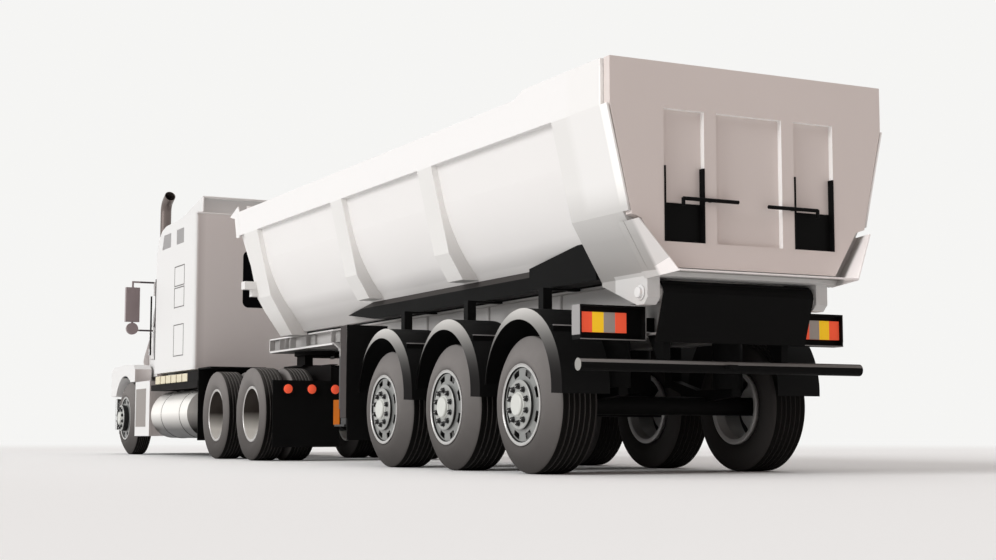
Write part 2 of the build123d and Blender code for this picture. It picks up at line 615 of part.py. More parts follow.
with BuildPart() as mud_flaps:
    for side in SIDES:
        block([side * x for x in FLAP_X], (FLAP_Y - 10, FLAP_Y), (155, 900))
        block((side * (RAIL_OUTER + SEAT_GAP), side * FLAP_X[1]), (FLAP_Y - 50, FLAP_Y - 10), (860, 900))
        for x in FLAP_LAMPS:
            rod("y", (side * x, FLAP_Y + 9, 803), FLAP_LAMP_R, 18)
        # guard in front of the first drive wheel, with its top shelf
        block((side * 480, side * 1195), (GUARD_Y - 20, GUARD_Y), (220, 1130))
        block((side * 480, side * 1195), (GUARD_Y, -2080), (1110, 1130))
        block((side * (RAIL_OUTER + SEAT_GAP), side * 480), (GUARD_Y - 20, GUARD_Y + 40), (980, 1080))
save(mud_flaps.part, "mud_flaps")

# ======================================================================== axles and steering

KNUCKLE_X = 930
EYE_R = 45
EYE_HALF = 50
KING_R = 22
AXLE_TUBE_R = 72
STEER_SWING = 32

with BuildPart() as tractor_axles:
    block((-KNUCKLE_X, KNUCKLE_X), (STEER_Y - 42, STEER_Y + 42), (AXLE_Z - EYE_HALF, AXLE_Z + EYE_HALF))
    for side in SIDES:
        block((side * (KNUCKLE_X - 5), side * (KNUCKLE_X + 60)), (STEER_Y - 60, STEER_Y + 60),
              (AXLE_Z - 60, AXLE_Z + 60), mode=Mode.SUBTRACT)
        rod("z", (side * KNUCKLE_X, STEER_Y, AXLE_Z), EYE_R, 2 * EYE_HALF)
        rod("z", (side * KNUCKLE_X, STEER_Y, AXLE_Z), KING_R + PIN_GAP, 2 * EYE_HALF + 2, mode=Mode.SUBTRACT)
        # leaf spring, its seat and its hangers
        block((side * 385, side * 465), (STEER_Y - 80, STEER_Y + 80), (AXLE_Z + EYE_HALF, 640))
        side_plate([(STEER_Y - 720, 730), (STEER_Y - 350, 670), (STEER_Y, 640), (STEER_Y + 350, 670),
                    (STEER_Y + 720, 730), (STEER_Y + 720, 752), (STEER_Y + 350, 720), (STEER_Y, 700),
                    (STEER_Y - 350, 720), (STEER_Y - 720, 752)], (side * 385, side * 465))
        for end in (-1, 1):
            y = STEER_Y + end * 690
            block((side * 395, side * RAIL_OUTER), (y - 40, y + 40), (735, RAIL_BOTTOM - SEAT_GAP))
    for y in DRIVE_AXLES.values():
        rod("x", (0, y, AXLE_Z), AXLE_TUBE_R, 2 * (DUAL_PLANE - 225 - 5))
        rod("x", (0, y, AXLE_Z), SPINDLE_R, 2 * (DUAL_PLANE + 130))
        rod("y", (0, y, AXLE_Z), 190, 300)
        for side in SIDES:
            rod("z", (side * 405, y + 300, 725), 95, 190 - 2 * SEAT_GAP)
            side_plate([(y - 480, 640), (y - 480, 700), (y - 60, 640), (y + 400, 631), (y + 400, 575), (y - 60, 560)],
                       (side * 375, side * 435))
            block((side * 375, side * RAIL_OUTER), (y - 500, y - 440), (640, RAIL_BOTTOM - SEAT_GAP))
save(tractor_axles.part, "tractor_axles")

for side in SIDES:
    name = SIDE_NAME[side]
    with BuildPart() as knuckle:
        rod("z", (side * KNUCKLE_X, STEER_Y, AXLE_Z), KING_R, 2 * (EYE_HALF + 50))
        for end in (-1, 1):
            z = sorted((AXLE_Z + end * (EYE_HALF + 10), AXLE_Z + end * (EYE_HALF + 48)))
            block((side * (KNUCKLE_X - 40), side * (KNUCKLE_X + 85)), (STEER_Y - 40, STEER_Y + 40), z)
        block((side * (KNUCKLE_X + 57), side * (KNUCKLE_X + 85)), (STEER_Y - 40, STEER_Y + 40),
              (AXLE_Z - EYE_HALF - 48, AXLE_Z + EYE_HALF + 48))
        rod("x", (side * (KNUCKLE_X + 85 + 55), STEER_Y, AXLE_Z), SPINDLE_R, 110)
    save(knuckle.part, f"knuckle_{name}")

# ======================================================================== hood

HOOD_SECTIONS = (
    # y, half width at the top, at the shoulder; height of the top, the shoulder, the hem
    (HOOD_REAR_Y, 640, 900, 1735, 1560, 1250),
    (-6950, 560, 740, 1640, 1470, 1100),
    (HOOD_FRONT_Y, 430, 560, 1480, 1340, 878),
)
GRILLE_HALF = 420
GRILLE_Z = (930, 1380)
FENDER_INNER = 540
FENDER_CORNER_Y = -7250
FORK_X = 363


def hood_section(y, top_half, half, top, shoulder, hem, wall=0):
    """One cross-section of the hood, moved in by its wall."""
    outline = mirrored([(half - wall, hem), (half - wall, shoulder), (top_half - wall / 2, top - wall)])
    with BuildSketch(Plane.XZ.offset(-y)) as sketch:
        with BuildLine():
            Polyline(*outline, close=True)
        make_face()
    return sketch.sketch


def trim_corners(half, front):
    """Cuts both front corners of the fenders, in plan."""
    for side in SIDES:
        with BuildSketch(Plane.XY.offset(FENDER_BOTTOM - 300)) as sketch:
            with BuildLine():
                Polyline((side * half, front), (side * (half - 200), front - 470), (side * (half + 50), front - 470),
                         (side * (half + 50), front), close=True)
            make_face()
        extrude(sketch.sketch, amount=700, mode=Mode.SUBTRACT)


with BuildPart() as fender_shape:
    for side in SIDES:
        side_plate([(-7560, 862), (-7610, 1000), (-7460, 1190), (-7100, 1290), (STEER_Y, FENDER_TOP),
                    (-5930, 1296), (FENDER_TAIL_Y, 1230), (FENDER_TAIL_Y, FENDER_BOTTOM), (-6400, FENDER_BOTTOM),
                    (-6400, 862)], (side * FENDER_INNER, side * FENDER_HALF))
    trim_corners(FENDER_HALF, FENDER_CORNER_Y)

with BuildPart() as fender_room:
    for side in SIDES:
        side_plate([(-7540, 880), (-7585, 1000), (-7445, 1170), (-7095, 1270), (STEER_Y, FENDER_TOP - 20),
                    (HOOD_REAR_Y - 20, 1270), (HOOD_REAR_Y - 20, 1180), (-6430, 1162), (-6700, 1104),
                    (-6900, 988), (-6975, 880)],
                   (side * (FENDER_INNER - 20), side * (FENDER_HALF - 20)))
    trim_corners(FENDER_HALF - 20, FENDER_CORNER_Y)

with BuildPart() as hood:
    for row in HOOD_SECTIONS:
        add(hood_section(*row))
    loft(ruled=True)
    add(fender_shape.part)
    block((-CAB_HALF - SWING_GAP, CAB_HALF + SWING_GAP), (HOOD_REAR_Y, FENDER_TAIL_Y + 10), (800, 1700),
          mode=Mode.SUBTRACT)
    # the hollow inside: under the hood, then in each fender, then the wheel arches
    first, middle_row, last = HOOD_SECTIONS
    inner_rows = (
        (first[0] + 1, *first[1:5], 700), (*middle_row[:5], 700), (last[0] + HOOD_WALL, *last[1:5], 700),
    )
    hollow = [hood_section(*row, wall=HOOD_WALL) for row in inner_rows]
    loft(hollow, ruled=True, mode=Mode.SUBTRACT)
    add(fender_room.part, mode=Mode.SUBTRACT)
    for side in SIDES:
        rod("x", (side * 900, STEER_Y, AXLE_Z), ARCH_R, 900, mode=Mode.SUBTRACT)
        # notch over the fork of the hinge
        rod("x", (side * FORK_X, *HOOD_PIVOT), 46, 32, mode=Mode.SUBTRACT)
    # the grille's opening, and the eyes of the hinge
    block((-GRILLE_HALF, GRILLE_HALF), (HOOD_FRONT_Y - 10, HOOD_FRONT_Y + 60), GRILLE_Z, mode=Mode.SUBTRACT)
    for side in SIDES:
        eye_x = [side * x for x in HINGE_EYE_X]
        block(eye_x, (HOOD_PIVOT[0] - 10, HOOD_PIVOT[0] + 20), (HOOD_PIVOT[1], 900))
        rod("x", (sum(eye_x) / 2, *HOOD_PIVOT), 26, HINGE_EYE_X[1] - HINGE_EYE_X[0])
        rod("x", (sum(eye_x) / 2, *HOOD_PIVOT), HINGE_PIN_R + PIN_GAP, 60, mode=Mode.SUBTRACT)
save(hood.part, "hood")

GRILLE_BARS = 13

with BuildPart() as grille_and_lamps:
    frame_y = (HOOD_FRONT_Y - 8, HOOD_FRONT_Y + 8)
    block((-GRILLE_HALF, GRILLE_HALF), frame_y, GRILLE_Z)
    block((30 - GRILLE_HALF, GRILLE_HALF - 30), (frame_y[0] - 1, frame_y[1] + 1), (GRILLE_Z[0] + 30, GRILLE_Z[1] - 30),
          mode=Mode.SUBTRACT)
    pitch = 2 * (GRILLE_HALF - 30) / (GRILLE_BARS + 1)
    for index in range(GRILLE_BARS):
        x = 30 - GRILLE_HALF + (index + 1) * pitch
        block((x - 8, x + 8), frame_y, (GRILLE_Z[0] + 30, GRILLE_Z[1] - 30))
    for side in SIDES:
        side_plate([(-7595.2, 1019.2), (-7490.2, 1152.2), (-7513.5, 1170.6), (-7618.5, 1037.6)],
                   (side * 740, side * 1000))
save(grille_and_lamps.part, "grille_and_lamps")

# ======================================================================== trailer

BEAM_INNER = BEAM_OUTER - BEAM_FLANGE
WEB_X = (BEAM_OUTER - BEAM_FLANGE / 2 - 6, BEAM_OUTER - BEAM_FLANGE / 2 + 6)
UNDERSIDE = [
    (NECK_FRONT_Y, NECK_BOTTOM + 12), (560, NECK_BOTTOM + 12), (800, 1200), (1150, FRAME_BOTTOM),
    (FRAME_REAR_Y, FRAME_BOTTOM),
]
FRAME_CROSS = (560, 1300, 2500, 3900, 5300, 6700)
PIVOT_TUBE_R = 68
PIN_R = 32
BEARING_X = (590, 690)
EAR_X = (700, 805)
NECK_STIFFENERS = (-1594, -1230, -1037, -859, -310, 494)
WEB_PIPES = (2930, 4260, 5585)
LEG_X = (840, 920)
LEG_Y = (1580, 1760)

with BuildPart() as trailer_frame:
    for side in SIDES:
        side_plate([(NECK_FRONT_Y, BEAM_TOP), *UNDERSIDE, (FRAME_REAR_Y, BEAM_TOP)], [side * x for x in WEB_X])
        block((side * BEAM_INNER, side * BEAM_OUTER), (NECK_FRONT_Y, FRAME_REAR_Y), (BEAM_TOP - BEAM_WALL, BEAM_TOP))
        side_plate([*UNDERSIDE, *[(y, z + BEAM_WALL) for y, z in reversed(UNDERSIDE)]],
                   (side * BEAM_INNER, side * BEAM_OUTER))
        # bearing of the tipping pivot
        side_plate([(6900, 1262), (6900, 1380), (7300, 1380), (7328, 1345), (7328, 1300), (7300, 1262)],
                   [side * x for x in BEARING_X])
        block((side * WEB_X[1], side * BEARING_X[0]), (6900, 7100), (1280, 1380))
        # stiffeners on the neck's webs and round posts on the frame's
        for y in NECK_STIFFENERS:
            block((side * WEB_X[1], side * BEAM_OUTER), (y - 6, y + 6), (NECK_BOTTOM + 12, BEAM_TOP - BEAM_WALL))
        for y in WEB_PIPES:
            rod("z", (side * WEB_X[1], y, (FRAME_BOTTOM + BEAM_TOP) / 2), 26, BEAM_TOP - FRAME_BOTTOM - BEAM_WALL)
        rod("x", (side * (BEARING_X[0] + EAR_X[1] + 12) / 2, *TIP_PIVOT), PIN_R, EAR_X[1] + 12 - BEARING_X[0])
        # hoist bracket
        block((side * 112, side * 132), (-1560, -1010), (1300, 1520))
        rod("x", (side * 122, HOIST_Y, HOIST_Z), 30 + PIN_GAP, 40, mode=Mode.SUBTRACT)
        # landing leg
        block((side * WEB_X[1], side * LEG_X[1]), (LEG_Y[0] + 30, LEG_Y[1] - 30), (1080, 1160))
        block([side * x for x in LEG_X], LEG_Y, (560, 1180))
        block((side * (LEG_X[0] + 15), side * (LEG_X[1] - 15)), (LEG_Y[0] + 20, LEG_Y[1] - 20), (400, 560))
        block((side * (LEG_X[0] - 30), side * (LEG_X[1] + 30)), (LEG_Y[0] - 50, LEG_Y[1] + 50), (380, 400))
    rod("x", (0, *TIP_PIVOT), PIVOT_TUBE_R, 2 * BEARING_X[0] + 20)
    for y in ((-1560, -1480), (-1080, -1010)):
        block((-WEB_X[0], WEB_X[0]), y, (NECK_BOTTOM + 12, BEAM_TOP - BEAM_WALL))
    block((-BEAM_OUTER, BEAM_OUTER), (NECK_FRONT_Y, -300), (NECK_BOTTOM, NECK_BOTTOM + 12))
    rod("z", (0, KINGPIN_Y, NECK_BOTTOM - 40), KINGPIN_R, 80)
    for y in FRAME_CROSS:
        block((-WEB_X[0], WEB_X[0]), (y - 50, y + 50), (1220, 1400))
save(trailer_frame.part, "trailer_frame")

GUARD_X = (770, 1222)
GUARD_CENTRE_Z = 637
GUARD_OUTER_R = 635
GUARD_LIP_R = 547
GUARD_LIP_X = 1180
GUARD_WALL = 8
GUARD_ARC = (-3, 174)
# half section of a guard: a sheet over the wheel, then a lip that leans outwards
GUARD_SECTION = [
    (GUARD_X[0], GUARD_OUTER_R), (GUARD_LIP_X, GUARD_OUTER_R), (GUARD_X[1], GUARD_LIP_R),
    (GUARD_X[1] - GUARD_WALL, GUARD_LIP_R), (GUARD_LIP_X - GUARD_WALL, GUARD_OUTER_R - GUARD_WALL),
    (GUARD_X[0], GUARD_OUTER_R - GUARD_WALL),
]
POST_X = (860, 940)
SPLASH_Y = (2340, 2500)


with BuildPart() as mudguards:
    for side in SIDES:
        for y in TRAILER_AXLES.values():
            start = radians(GUARD_ARC[0])
            plane = Plane(origin=(0, y, GUARD_CENTRE_Z), x_dir=(1, 0, 0), z_dir=(0, -sin(start), cos(start)))
            with BuildSketch(plane) as sketch:
                with BuildLine():
                    Polyline(*[(side * x, radius) for x, radius in GUARD_SECTION], close=True)
                make_face()
            revolve(sketch.sketch, axis=Axis((0, y, GUARD_CENTRE_Z), (1, 0, 0)),
                    revolution_arc=GUARD_ARC[1] - GUARD_ARC[0])
            top = GUARD_CENTRE_Z + GUARD_OUTER_R
            block([side * x for x in POST_X], (y - 170, y - 90), (top - 30, BEAM_TOP))
            block((side * BEAM_OUTER, side * POST_X[0]), (y - 165, y - 95), (BEAM_TOP - BEAM_WALL, BEAM_TOP))
        # splash panel ahead of the first trailer wheel
        block((side * 770, side * 1200), SPLASH_Y, (457, 1365))
        block((side * 780, side * 1190), (SPLASH_Y[1] - 12, SPLASH_Y[1]), (245, 457))
        block((side * WEB_X[1], side * 770), SPLASH_Y, (1200, 1280))
save(mudguards.part, "mudguards")

with BuildPart() as trailer_axles:
    for y in TRAILER_AXLES.values():
        rod("x", (0, y, AXLE_Z), 75, 2 * (SINGLE_OUTER - SINGLE_WIDTH + 145))
        rod("x", (0, y, AXLE_Z), SPINDLE_R, 2 * (SINGLE_OUTER - 45))
        for side in SIDES:
            side_plate([(y - 480, 690), (y - 480, 760), (y - 80, 660), (y + 420, 660), (y + 420, 600), (y - 80, 560)],
                       (side * 485, side * 565))
            block((side * 475, side * 575), (y - 540, y - 440), (690, FRAME_BOTTOM - SEAT_GAP))
            rod("z", (side * 525, y + 300, (660 + FRAME_BOTTOM - SEAT_GAP) / 2), 120, FRAME_BOTTOM - SEAT_GAP - 660)
save(trailer_axles.part, "trailer_axles")

BAR_Y = 7140
BAR_Z = 800
BAR_R = 46
BAR_HALF = 1265
APRON_HALF = 670
APRON_R = (88, 98)
APRON_TURNS = (0, 20, 45, 70, 92)       # degrees round the tipping pivot

with BuildPart() as rear_guard:
    rod("x", (0, BAR_Y, BAR_Z), BAR_R, 2 * BAR_HALF)
    for side in SIDES:
        side_plate([(6950, FRAME_BOTTOM - SEAT_GAP), (7165, FRAME_BOTTOM - SEAT_GAP), (BAR_Y + 20, BAR_Z), (BAR_Y - 30, BAR_Z)],
                   (side * 500, side * 560))
    outer_curve, inner_curve = [
        [(TIP_PIVOT[0] + radius * cos(radians(turn)), TIP_PIVOT[1] + radius * sin(radians(turn)))
         for turn in APRON_TURNS] for radius in reversed(APRON_R)]
    side_plate([(7230, 970), *outer_curve, *reversed(inner_curve), (7218, 973)], (-APRON_HALF, APRON_HALF))
    for side in SIDES:
        block((side * WEB_X[0], side * WEB_X[1]), (FRAME_REAR_Y, 7256), (1040, 1100))
    # towing eye
    block((-35, 35), (BAR_Y, BAR_Y + 110), (BAR_Z - 15, BAR_Z + 15))
    rod("z", (0, BAR_Y + 75, BAR_Z), 20, 40, mode=Mode.SUBTRACT)
save(rear_guard.part, "rear_guard")

LAMP_X = (630, 1190)
LAMP_Y = (6926, 7043)
LAMP_Z = (986, 1238)
LENS_X = (785, 1172)
LENS_Z = (1040, 1187)
LENSES = 4

with BuildPart() as lamp_boxes:
    for side in SIDES:
        block([side * x for x in LAMP_X], LAMP_Y, LAMP_Z)
        block([side * x for x in (LAMP_X[0] + 14, LAMP_X[1] - 14)], (LAMP_Y[1] - 50, LAMP_Y[1] + 10),
              (LAMP_Z[0] + 14, LAMP_Z[1] - 14), mode=Mode.SUBTRACT)
        block((side * WEB_X[1], side * LAMP_X[0]), (6940, 7000), (1060, 1160))
save(lamp_boxes.part, "lamp_boxes")

with BuildPart() as rear_lamps:
    step = (LENS_X[1] - LENS_X[0]) / LENSES
    for side in SIDES:
        for index in range(LENSES):
            x = LENS_X[0] + index * step
            block((side * x, side * (x + step - 2)), (LAMP_Y[1] - 50, LAMP_Y[1] - 30), LENS_Z)
save(rear_lamps.part, "rear_lamps")

# ======================================================================== tipping body

SKIN_TOP = (1185, 2640)
SKIN_KNEE = (1105, 2290)
SKIN_MID = (1000, 2010)
SKIN_FLANK = (800, 1690)
SKIN_FOOT = (FLOOR_HALF, FLOOR_Z)


def skin_face(inset, top_z=SKIN_TOP[1]):
    """The half pipe's cross-section, closed at the top, moved in by the inset."""
    with BuildLine() as section:
        for side in SIDES:
            top, knee, mid, flank, foot = [
                (side * (x - inset), z + lift) for (x, z), lift in (
                    (SKIN_TOP, top_z - SKIN_TOP[1]), (SKIN_KNEE, 0), (SKIN_MID, inset * 0.4),
                    (SKIN_FLANK, inset * 0.6), (SKIN_FOOT, inset))]
            Line(top, knee)
            ThreePointArc(knee, mid, flank)
            Line(flank, foot)
        Line((FLOOR_HALF - inset, FLOOR_Z + inset), (inset - FLOOR_HALF, FLOOR_Z + inset))
        Line((SKIN_TOP[0] - inset, top_z), (inset - SKIN_TOP[0], top_z))
    make_face(section.edges())


FRONT_SLOPE = (BODY_FRONT_TOP_Y - BODY_FRONT_FOOT_Y) / (RAIL_Z[1] - FLOOR_Z)
SEAM = 0.3           # between the skin and what is welded round it
BODY_LENGTH = BODY_REAR_Y - BODY_FRONT_TOP_Y + 200
SUBFRAME_TOP = 1638


def front_y(z, depth=0):
    """Where the leaning front wall stands at a height, moved back by its depth."""
    return BODY_FRONT_FOOT_Y + (z - FLOOR_Z) * FRONT_SLOPE + depth


def cut_front(depth=0):
    """Cuts a body's front end to the lean of the front wall."""
    low, high = FLOOR_Z - 100, RAIL_Z[1] + 300
    side_plate([(front_y(low, depth), low), (front_y(high, depth), high), (front_y(high) - 900, high),
                (front_y(high) - 900, low)], (-RAIL_HALF - 100, RAIL_HALF + 100), mode=Mode.SUBTRACT)


with BuildPart() as load_space:
    with BuildSketch(Plane.XZ.offset(-BODY_REAR_Y - 10)):
        skin_face(SKIN, SKIN_TOP[1] + 10)
    extrude(amount=BODY_LENGTH)
    cut_front(SKIN)

with BuildPart() as skin_envelope:
    with BuildSketch(Plane.XZ.offset(-GATE_Y)):
        skin_face(-SEAM, SKIN_TOP[1] + SEAM)
    extrude(amount=BODY_LENGTH + 100)

HOIST_EAR_X = (60, 80)

with BuildPart() as tipping_body:
    with BuildSketch(Plane.XZ.offset(-BODY_REAR_Y)):
        skin_face(0)
    extrude(amount=BODY_LENGTH)
    cut_front()
    add(load_space.part, mode=Mode.SUBTRACT)
    # the front wall above the skin, its visor and the hoist's ears
    upper = (SKIN_TOP[1] - 40, RAIL_Z[1])
    side_plate([(front_y(upper[0]), upper[0]), (front_y(upper[1]), upper[1]),
                (front_y(upper[1], SKIN), upper[1]), (front_y(upper[0], SKIN), upper[0])],
               (-RAIL_HALF + BODY_RAIL_WIDTH + SEAM, RAIL_HALF - BODY_RAIL_WIDTH - SEAM))
    side_plate([(BODY_FRONT_TOP_Y, RAIL_Z[1]), (BODY_FRONT_TOP_Y - 80, 3000),
                (BODY_FRONT_TOP_Y - 70, 3006), (BODY_FRONT_TOP_Y + 12, RAIL_Z[1])], (-1080, 1080))
    for side in SIDES:
        side_plate([(front_y(2760) + 2, 2760), (HOIST_Y - 50, 2775), (HOIST_Y - 50, 2860), (front_y(2880) + 2, 2880)],
                   [side * x for x in HOIST_EAR_X])
save(tipping_body.part, "tipping_body")

SPOUT_LIP = (HALF_LENGTH - 1, 1440)
WING = {"foot": (820, 7370, 1415), "lip": (783, 7727, 1440), "tip": (1016, 7585, 1815), "root": (1050, 7360, 1800)}
RIBS = {"front": (-700, -230), "second": (2090, 2400), "third": (4240, 4540), "rear": (6700, BODY_REAR_Y)}
SPOUT_HALF = (812, 784)      # at the body's end and at the lip
GATE_LAP = [(RAIL_HALF, RAIL_Z[0]), (RIB_HALF[1], RIB_DEPTH_Z[1]), (RIB_HALF[1] - 15, RIB_DEPTH_Z[1]),
            (RAIL_HALF - 15, RAIL_Z[0])]
FRONT_BRACKETS = (
    # ranges of x, y and z
    ((1040, RAIL_HALF), (-775, -640), (1970, 2060)),
    ((1000, 1140), (-760, -650), (1890, 1972)),
)
CHEEK_X = (1195, RAIL_HALF)
CHEEK_Y = (6250, 7420)
ARM_X = (1130, 1190)
GATE_PIN_R = 18


def panel(corners, thickness):
    """A flat plate on the plane of its first, second and last corners."""
    origin, second, *rest = [Vector(*corner) for corner in corners]
    along = second - origin
    plane = Plane(origin=origin, x_dir=along, z_dir=along.cross(rest[-1] - origin))
    flat = [plane.to_local_coords(point) for point in (origin, second, *rest)]
    with BuildSketch(plane) as sketch:
        with BuildLine():
            Polyline(*[(point.X, point.Y) for point in flat], close=True)
        make_face()
    extrude(sketch.sketch, amount=thickness)


with BuildPart() as body_ribs:
    for side in SIDES:
        rail_x = (side * (RAIL_HALF - BODY_RAIL_WIDTH), side * RAIL_HALF)
        block(rail_x, (BODY_FRONT_TOP_Y - 10, BODY_REAR_Y), RAIL_Z)
        for place, y in RIBS.items():
            foot = RIB_DEPTH_Z[0] if place in ("front", "rear") else SUBFRAME_TOP + 5
            foot_x = RIB_HALF[0] + (foot - RIB_DEPTH_Z[0]) / (RIB_DEPTH_Z[1] - RIB_DEPTH_Z[0]) * (RIB_HALF[1] - RIB_HALF[0])
            cross_plate([(side * RAIL_HALF, RAIL_Z[0]), (side * RIB_HALF[1], RIB_DEPTH_Z[1]), (side * foot_x, foot),
                         (side * (BEAM_OUTER + 15), foot), (side * (BEAM_OUTER + 15), RAIL_Z[0])], y)
    block((-RIB_HALF[0], RIB_HALF[0]), (FRAME_REAR_Y + 30, BODY_REAR_Y + 10), (RIB_DEPTH_Z[0], FLOOR_Z))
    add(skin_envelope.part, mode=Mode.SUBTRACT)
    cut_front(-SEAM)
    for side in SIDES:
        # cheek and pin of the gate's arm
        side_plate([(CHEEK_Y[0] - 150, RAIL_Z[1]), (CHEEK_Y[0], GATE_TOP - 5), (CHEEK_Y[1], GATE_TOP - 5),
                    (CHEEK_Y[1], RAIL_Z[1])], [side * x for x in CHEEK_X])
        rod("x", (side * (ARM_X[0] + CHEEK_X[1]) / 2, *GATE_PIVOT), GATE_PIN_R, CHEEK_X[1] - ARM_X[0])
        # ear of the tipping pivot
        side_plate([(6710, RIB_DEPTH_Z[0] + 5), (6710, 1405), (7200, 1232), (7290, 1232), (7340, 1280),
                    (7340, RIB_DEPTH_Z[0] + 5)], [side * x for x in EAR_X])
        rod("x", (side * sum(EAR_X) / 2, *TIP_PIVOT), PIN_R + PIN_GAP, EAR_X[1] - EAR_X[0] + 10, mode=Mode.SUBTRACT)
        # the rear frame's lap beside the gate, and brackets at the front
        cross_plate([(side * x, z) for x, z in GATE_LAP], (BODY_REAR_Y - 1, GATE_Y - 5))
        for x, y, z in FRONT_BRACKETS:
            block([side * value for value in x], y, z)
        # wing of the spout
        cross_plate([(side * 800, RIB_DEPTH_Z[0]), (side * 822, 1415), (side * 1056, 1800), (side * 1015, 1800)],
                    (7330, BODY_REAR_Y))
        panel([(side * x, y, z) for x, y, z in WING.values()], side * 8)
    spout_foot = (BODY_REAR_Y + SEAM, FLOOR_Z)
    panel([(SPOUT_HALF[0], *spout_foot), (SPOUT_HALF[1], *SPOUT_LIP),
           (-SPOUT_HALF[1], *SPOUT_LIP), (-SPOUT_HALF[0], *spout_foot)], SKIN)
save(body_ribs.part, "body_ribs")

SUBFRAME_REAR_Y = RIBS["rear"][0] - 5
SUBFRAME_BOTTOM = 1458

with BuildPart() as body_subframe:
    for side in SIDES:
        side_plate([(1420, 1540), (2150, SUBFRAME_TOP), (SUBFRAME_REAR_Y, SUBFRAME_TOP),
                    (SUBFRAME_REAR_Y, SUBFRAME_BOTTOM), (2150, SUBFRAME_BOTTOM)], (side * 640, side * 762))
        side_plate([(5620, SUBFRAME_TOP), (6450, 1755), (6620, 1720), (SUBFRAME_REAR_Y, SUBFRAME_BOTTOM),
                    (5620, SUBFRAME_BOTTOM)], (side * 700, side * 845))
    add(skin_envelope.part, mode=Mode.SUBTRACT)
    for side in SIDES:
        block((side * 470, side * 580), (front_y(FLOOR_Z) + 40, SUBFRAME_REAR_Y), (BEAM_TOP + SEAT_GAP, FLOOR_Z))
save(body_subframe.part, "body_subframe")

# ======================================================================== tailgate

GATE_PANELS = {"left": (420, 765), "middle": (-270, 315), "right": (-745, -380)}
GATE_PANEL_Z = (1667, 2625)
GATE_RECESS = 45
GATE_OUTLINE = [(750, 1484), (955, 1822), (1035, 1848), (1210, 2630), (1210, GATE_TOP)]
LATCH_TOP = 1950
BAR_TOP = 2210
HANDLES = {
    # inner end, outer end and height of each handle
    "left": (139, 616, 1980),
    "right": (-129, -579, 1965),
}

with BuildPart() as tailgate:
    cross_plate(mirrored(GATE_OUTLINE), (GATE_Y - GATE_DEPTH, GATE_Y))
    for x in GATE_PANELS.values():
        block(x, (GATE_Y - GATE_RECESS, GATE_Y + 10), GATE_PANEL_Z, mode=Mode.SUBTRACT)
    for side in SIDES:
        arm_x = [side * x for x in ARM_X]
        block(arm_x, (GATE_PIVOT[0], GATE_Y - GATE_DEPTH), (GATE_PIVOT[1] - 24, GATE_TOP - 4))
        rod("x", (sum(arm_x) / 2, *GATE_PIVOT), 24, ARM_X[1] - ARM_X[0])
        rod("x", (sum(arm_x) / 2, *GATE_PIVOT), GATE_PIN_R + PIN_GAP, 100, mode=Mode.SUBTRACT)
save(tailgate.part, "tailgate")

with BuildPart() as gate_latches:
    floor_y = GATE_Y - GATE_RECESS
    for place in ("left", "right"):
        low, high = GATE_PANELS[place]
        block((low + 14, high - 14), (floor_y, floor_y + 8), (GATE_PANEL_Z[0], LATCH_TOP))
        for x in ((low, low + 14), (high - 14, high)):
            block(x, (floor_y, GATE_Y + 6), (GATE_PANEL_Z[0], BAR_TOP))
        inner, outer, z = HANDLES[place]
        rod("x", ((inner + outer) / 2, GATE_Y + 20, z), 14, abs(outer - inner))
        rod("z", (outer, GATE_Y + 20, z - 25), 14, 60)
        for x in (inner * 0.5 + outer * 0.5, low + 7 if place == "left" else high - 7):
            block((x - 10, x + 10), (GATE_Y, GATE_Y + 20), (z - 14, z + 14))
save(gate_latches.part, "gate_latches")

# ======================================================================== hoist

for stage in range(HOIST_STAGES):
    radius = HOIST_R - stage * HOIST_STEP
    low = HOIST_BOTTOM + 10 * stage
    high = HOIST_TOP + 12 * stage
    last = stage == HOIST_STAGES - 1
    with BuildPart() as tube:
        rod("z", (0, HOIST_Y, (low + high) / 2), radius, high - low)
        if not last:
            bore = radius - HOIST_WALL
            rod("z", (0, HOIST_Y, (low + high) / 2 + 8), bore, high - low, mode=Mode.SUBTRACT)
            with BuildSketch(Plane.XY.offset(high - 60)):
                with Locations((0, HOIST_Y)):
                    Circle(radius)
                    Circle(radius - HOIST_STEP + PIN_GAP, mode=Mode.SUBTRACT)
            extrude(amount=60)
        else:
            rod("x", (0, HOIST_Y, HOIST_EYE_Z), 38, 2 * HOIST_EAR_X[0] - 20)
            rod("z", (0, HOIST_Y, (high + HOIST_EYE_Z) / 2), 30, HOIST_EYE_Z - high)
            rod("x", (0, HOIST_Y, HOIST_EYE_Z), 20, 2 * HOIST_EAR_X[1], mode=Mode.SUBTRACT)
        if stage == 0:
            for side in SIDES:
                rod("x", (side * 115, HOIST_Y, HOIST_Z), 30, 40)
    save(tube.part, f"hoist_stage_{stage + 1}")
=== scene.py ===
from math import cos, pi, radians, sin

import bmesh
import bpy
from mathutils import Matrix, Vector


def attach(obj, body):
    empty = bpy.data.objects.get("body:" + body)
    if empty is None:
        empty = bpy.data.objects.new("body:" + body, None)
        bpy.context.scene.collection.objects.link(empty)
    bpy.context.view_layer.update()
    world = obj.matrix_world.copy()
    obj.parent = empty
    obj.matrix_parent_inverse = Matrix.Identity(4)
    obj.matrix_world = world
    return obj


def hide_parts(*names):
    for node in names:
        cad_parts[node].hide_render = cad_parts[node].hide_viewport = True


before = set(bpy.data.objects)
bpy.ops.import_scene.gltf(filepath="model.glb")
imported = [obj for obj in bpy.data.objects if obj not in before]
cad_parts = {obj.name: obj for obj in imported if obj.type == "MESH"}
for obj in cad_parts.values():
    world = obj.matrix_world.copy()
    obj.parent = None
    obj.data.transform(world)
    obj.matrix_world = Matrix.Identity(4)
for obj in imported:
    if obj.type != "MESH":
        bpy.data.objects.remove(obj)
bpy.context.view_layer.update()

# metres throughout: x to the vehicle's left, y to its rear, z up
SIDES = {"left": 1, "right": -1}
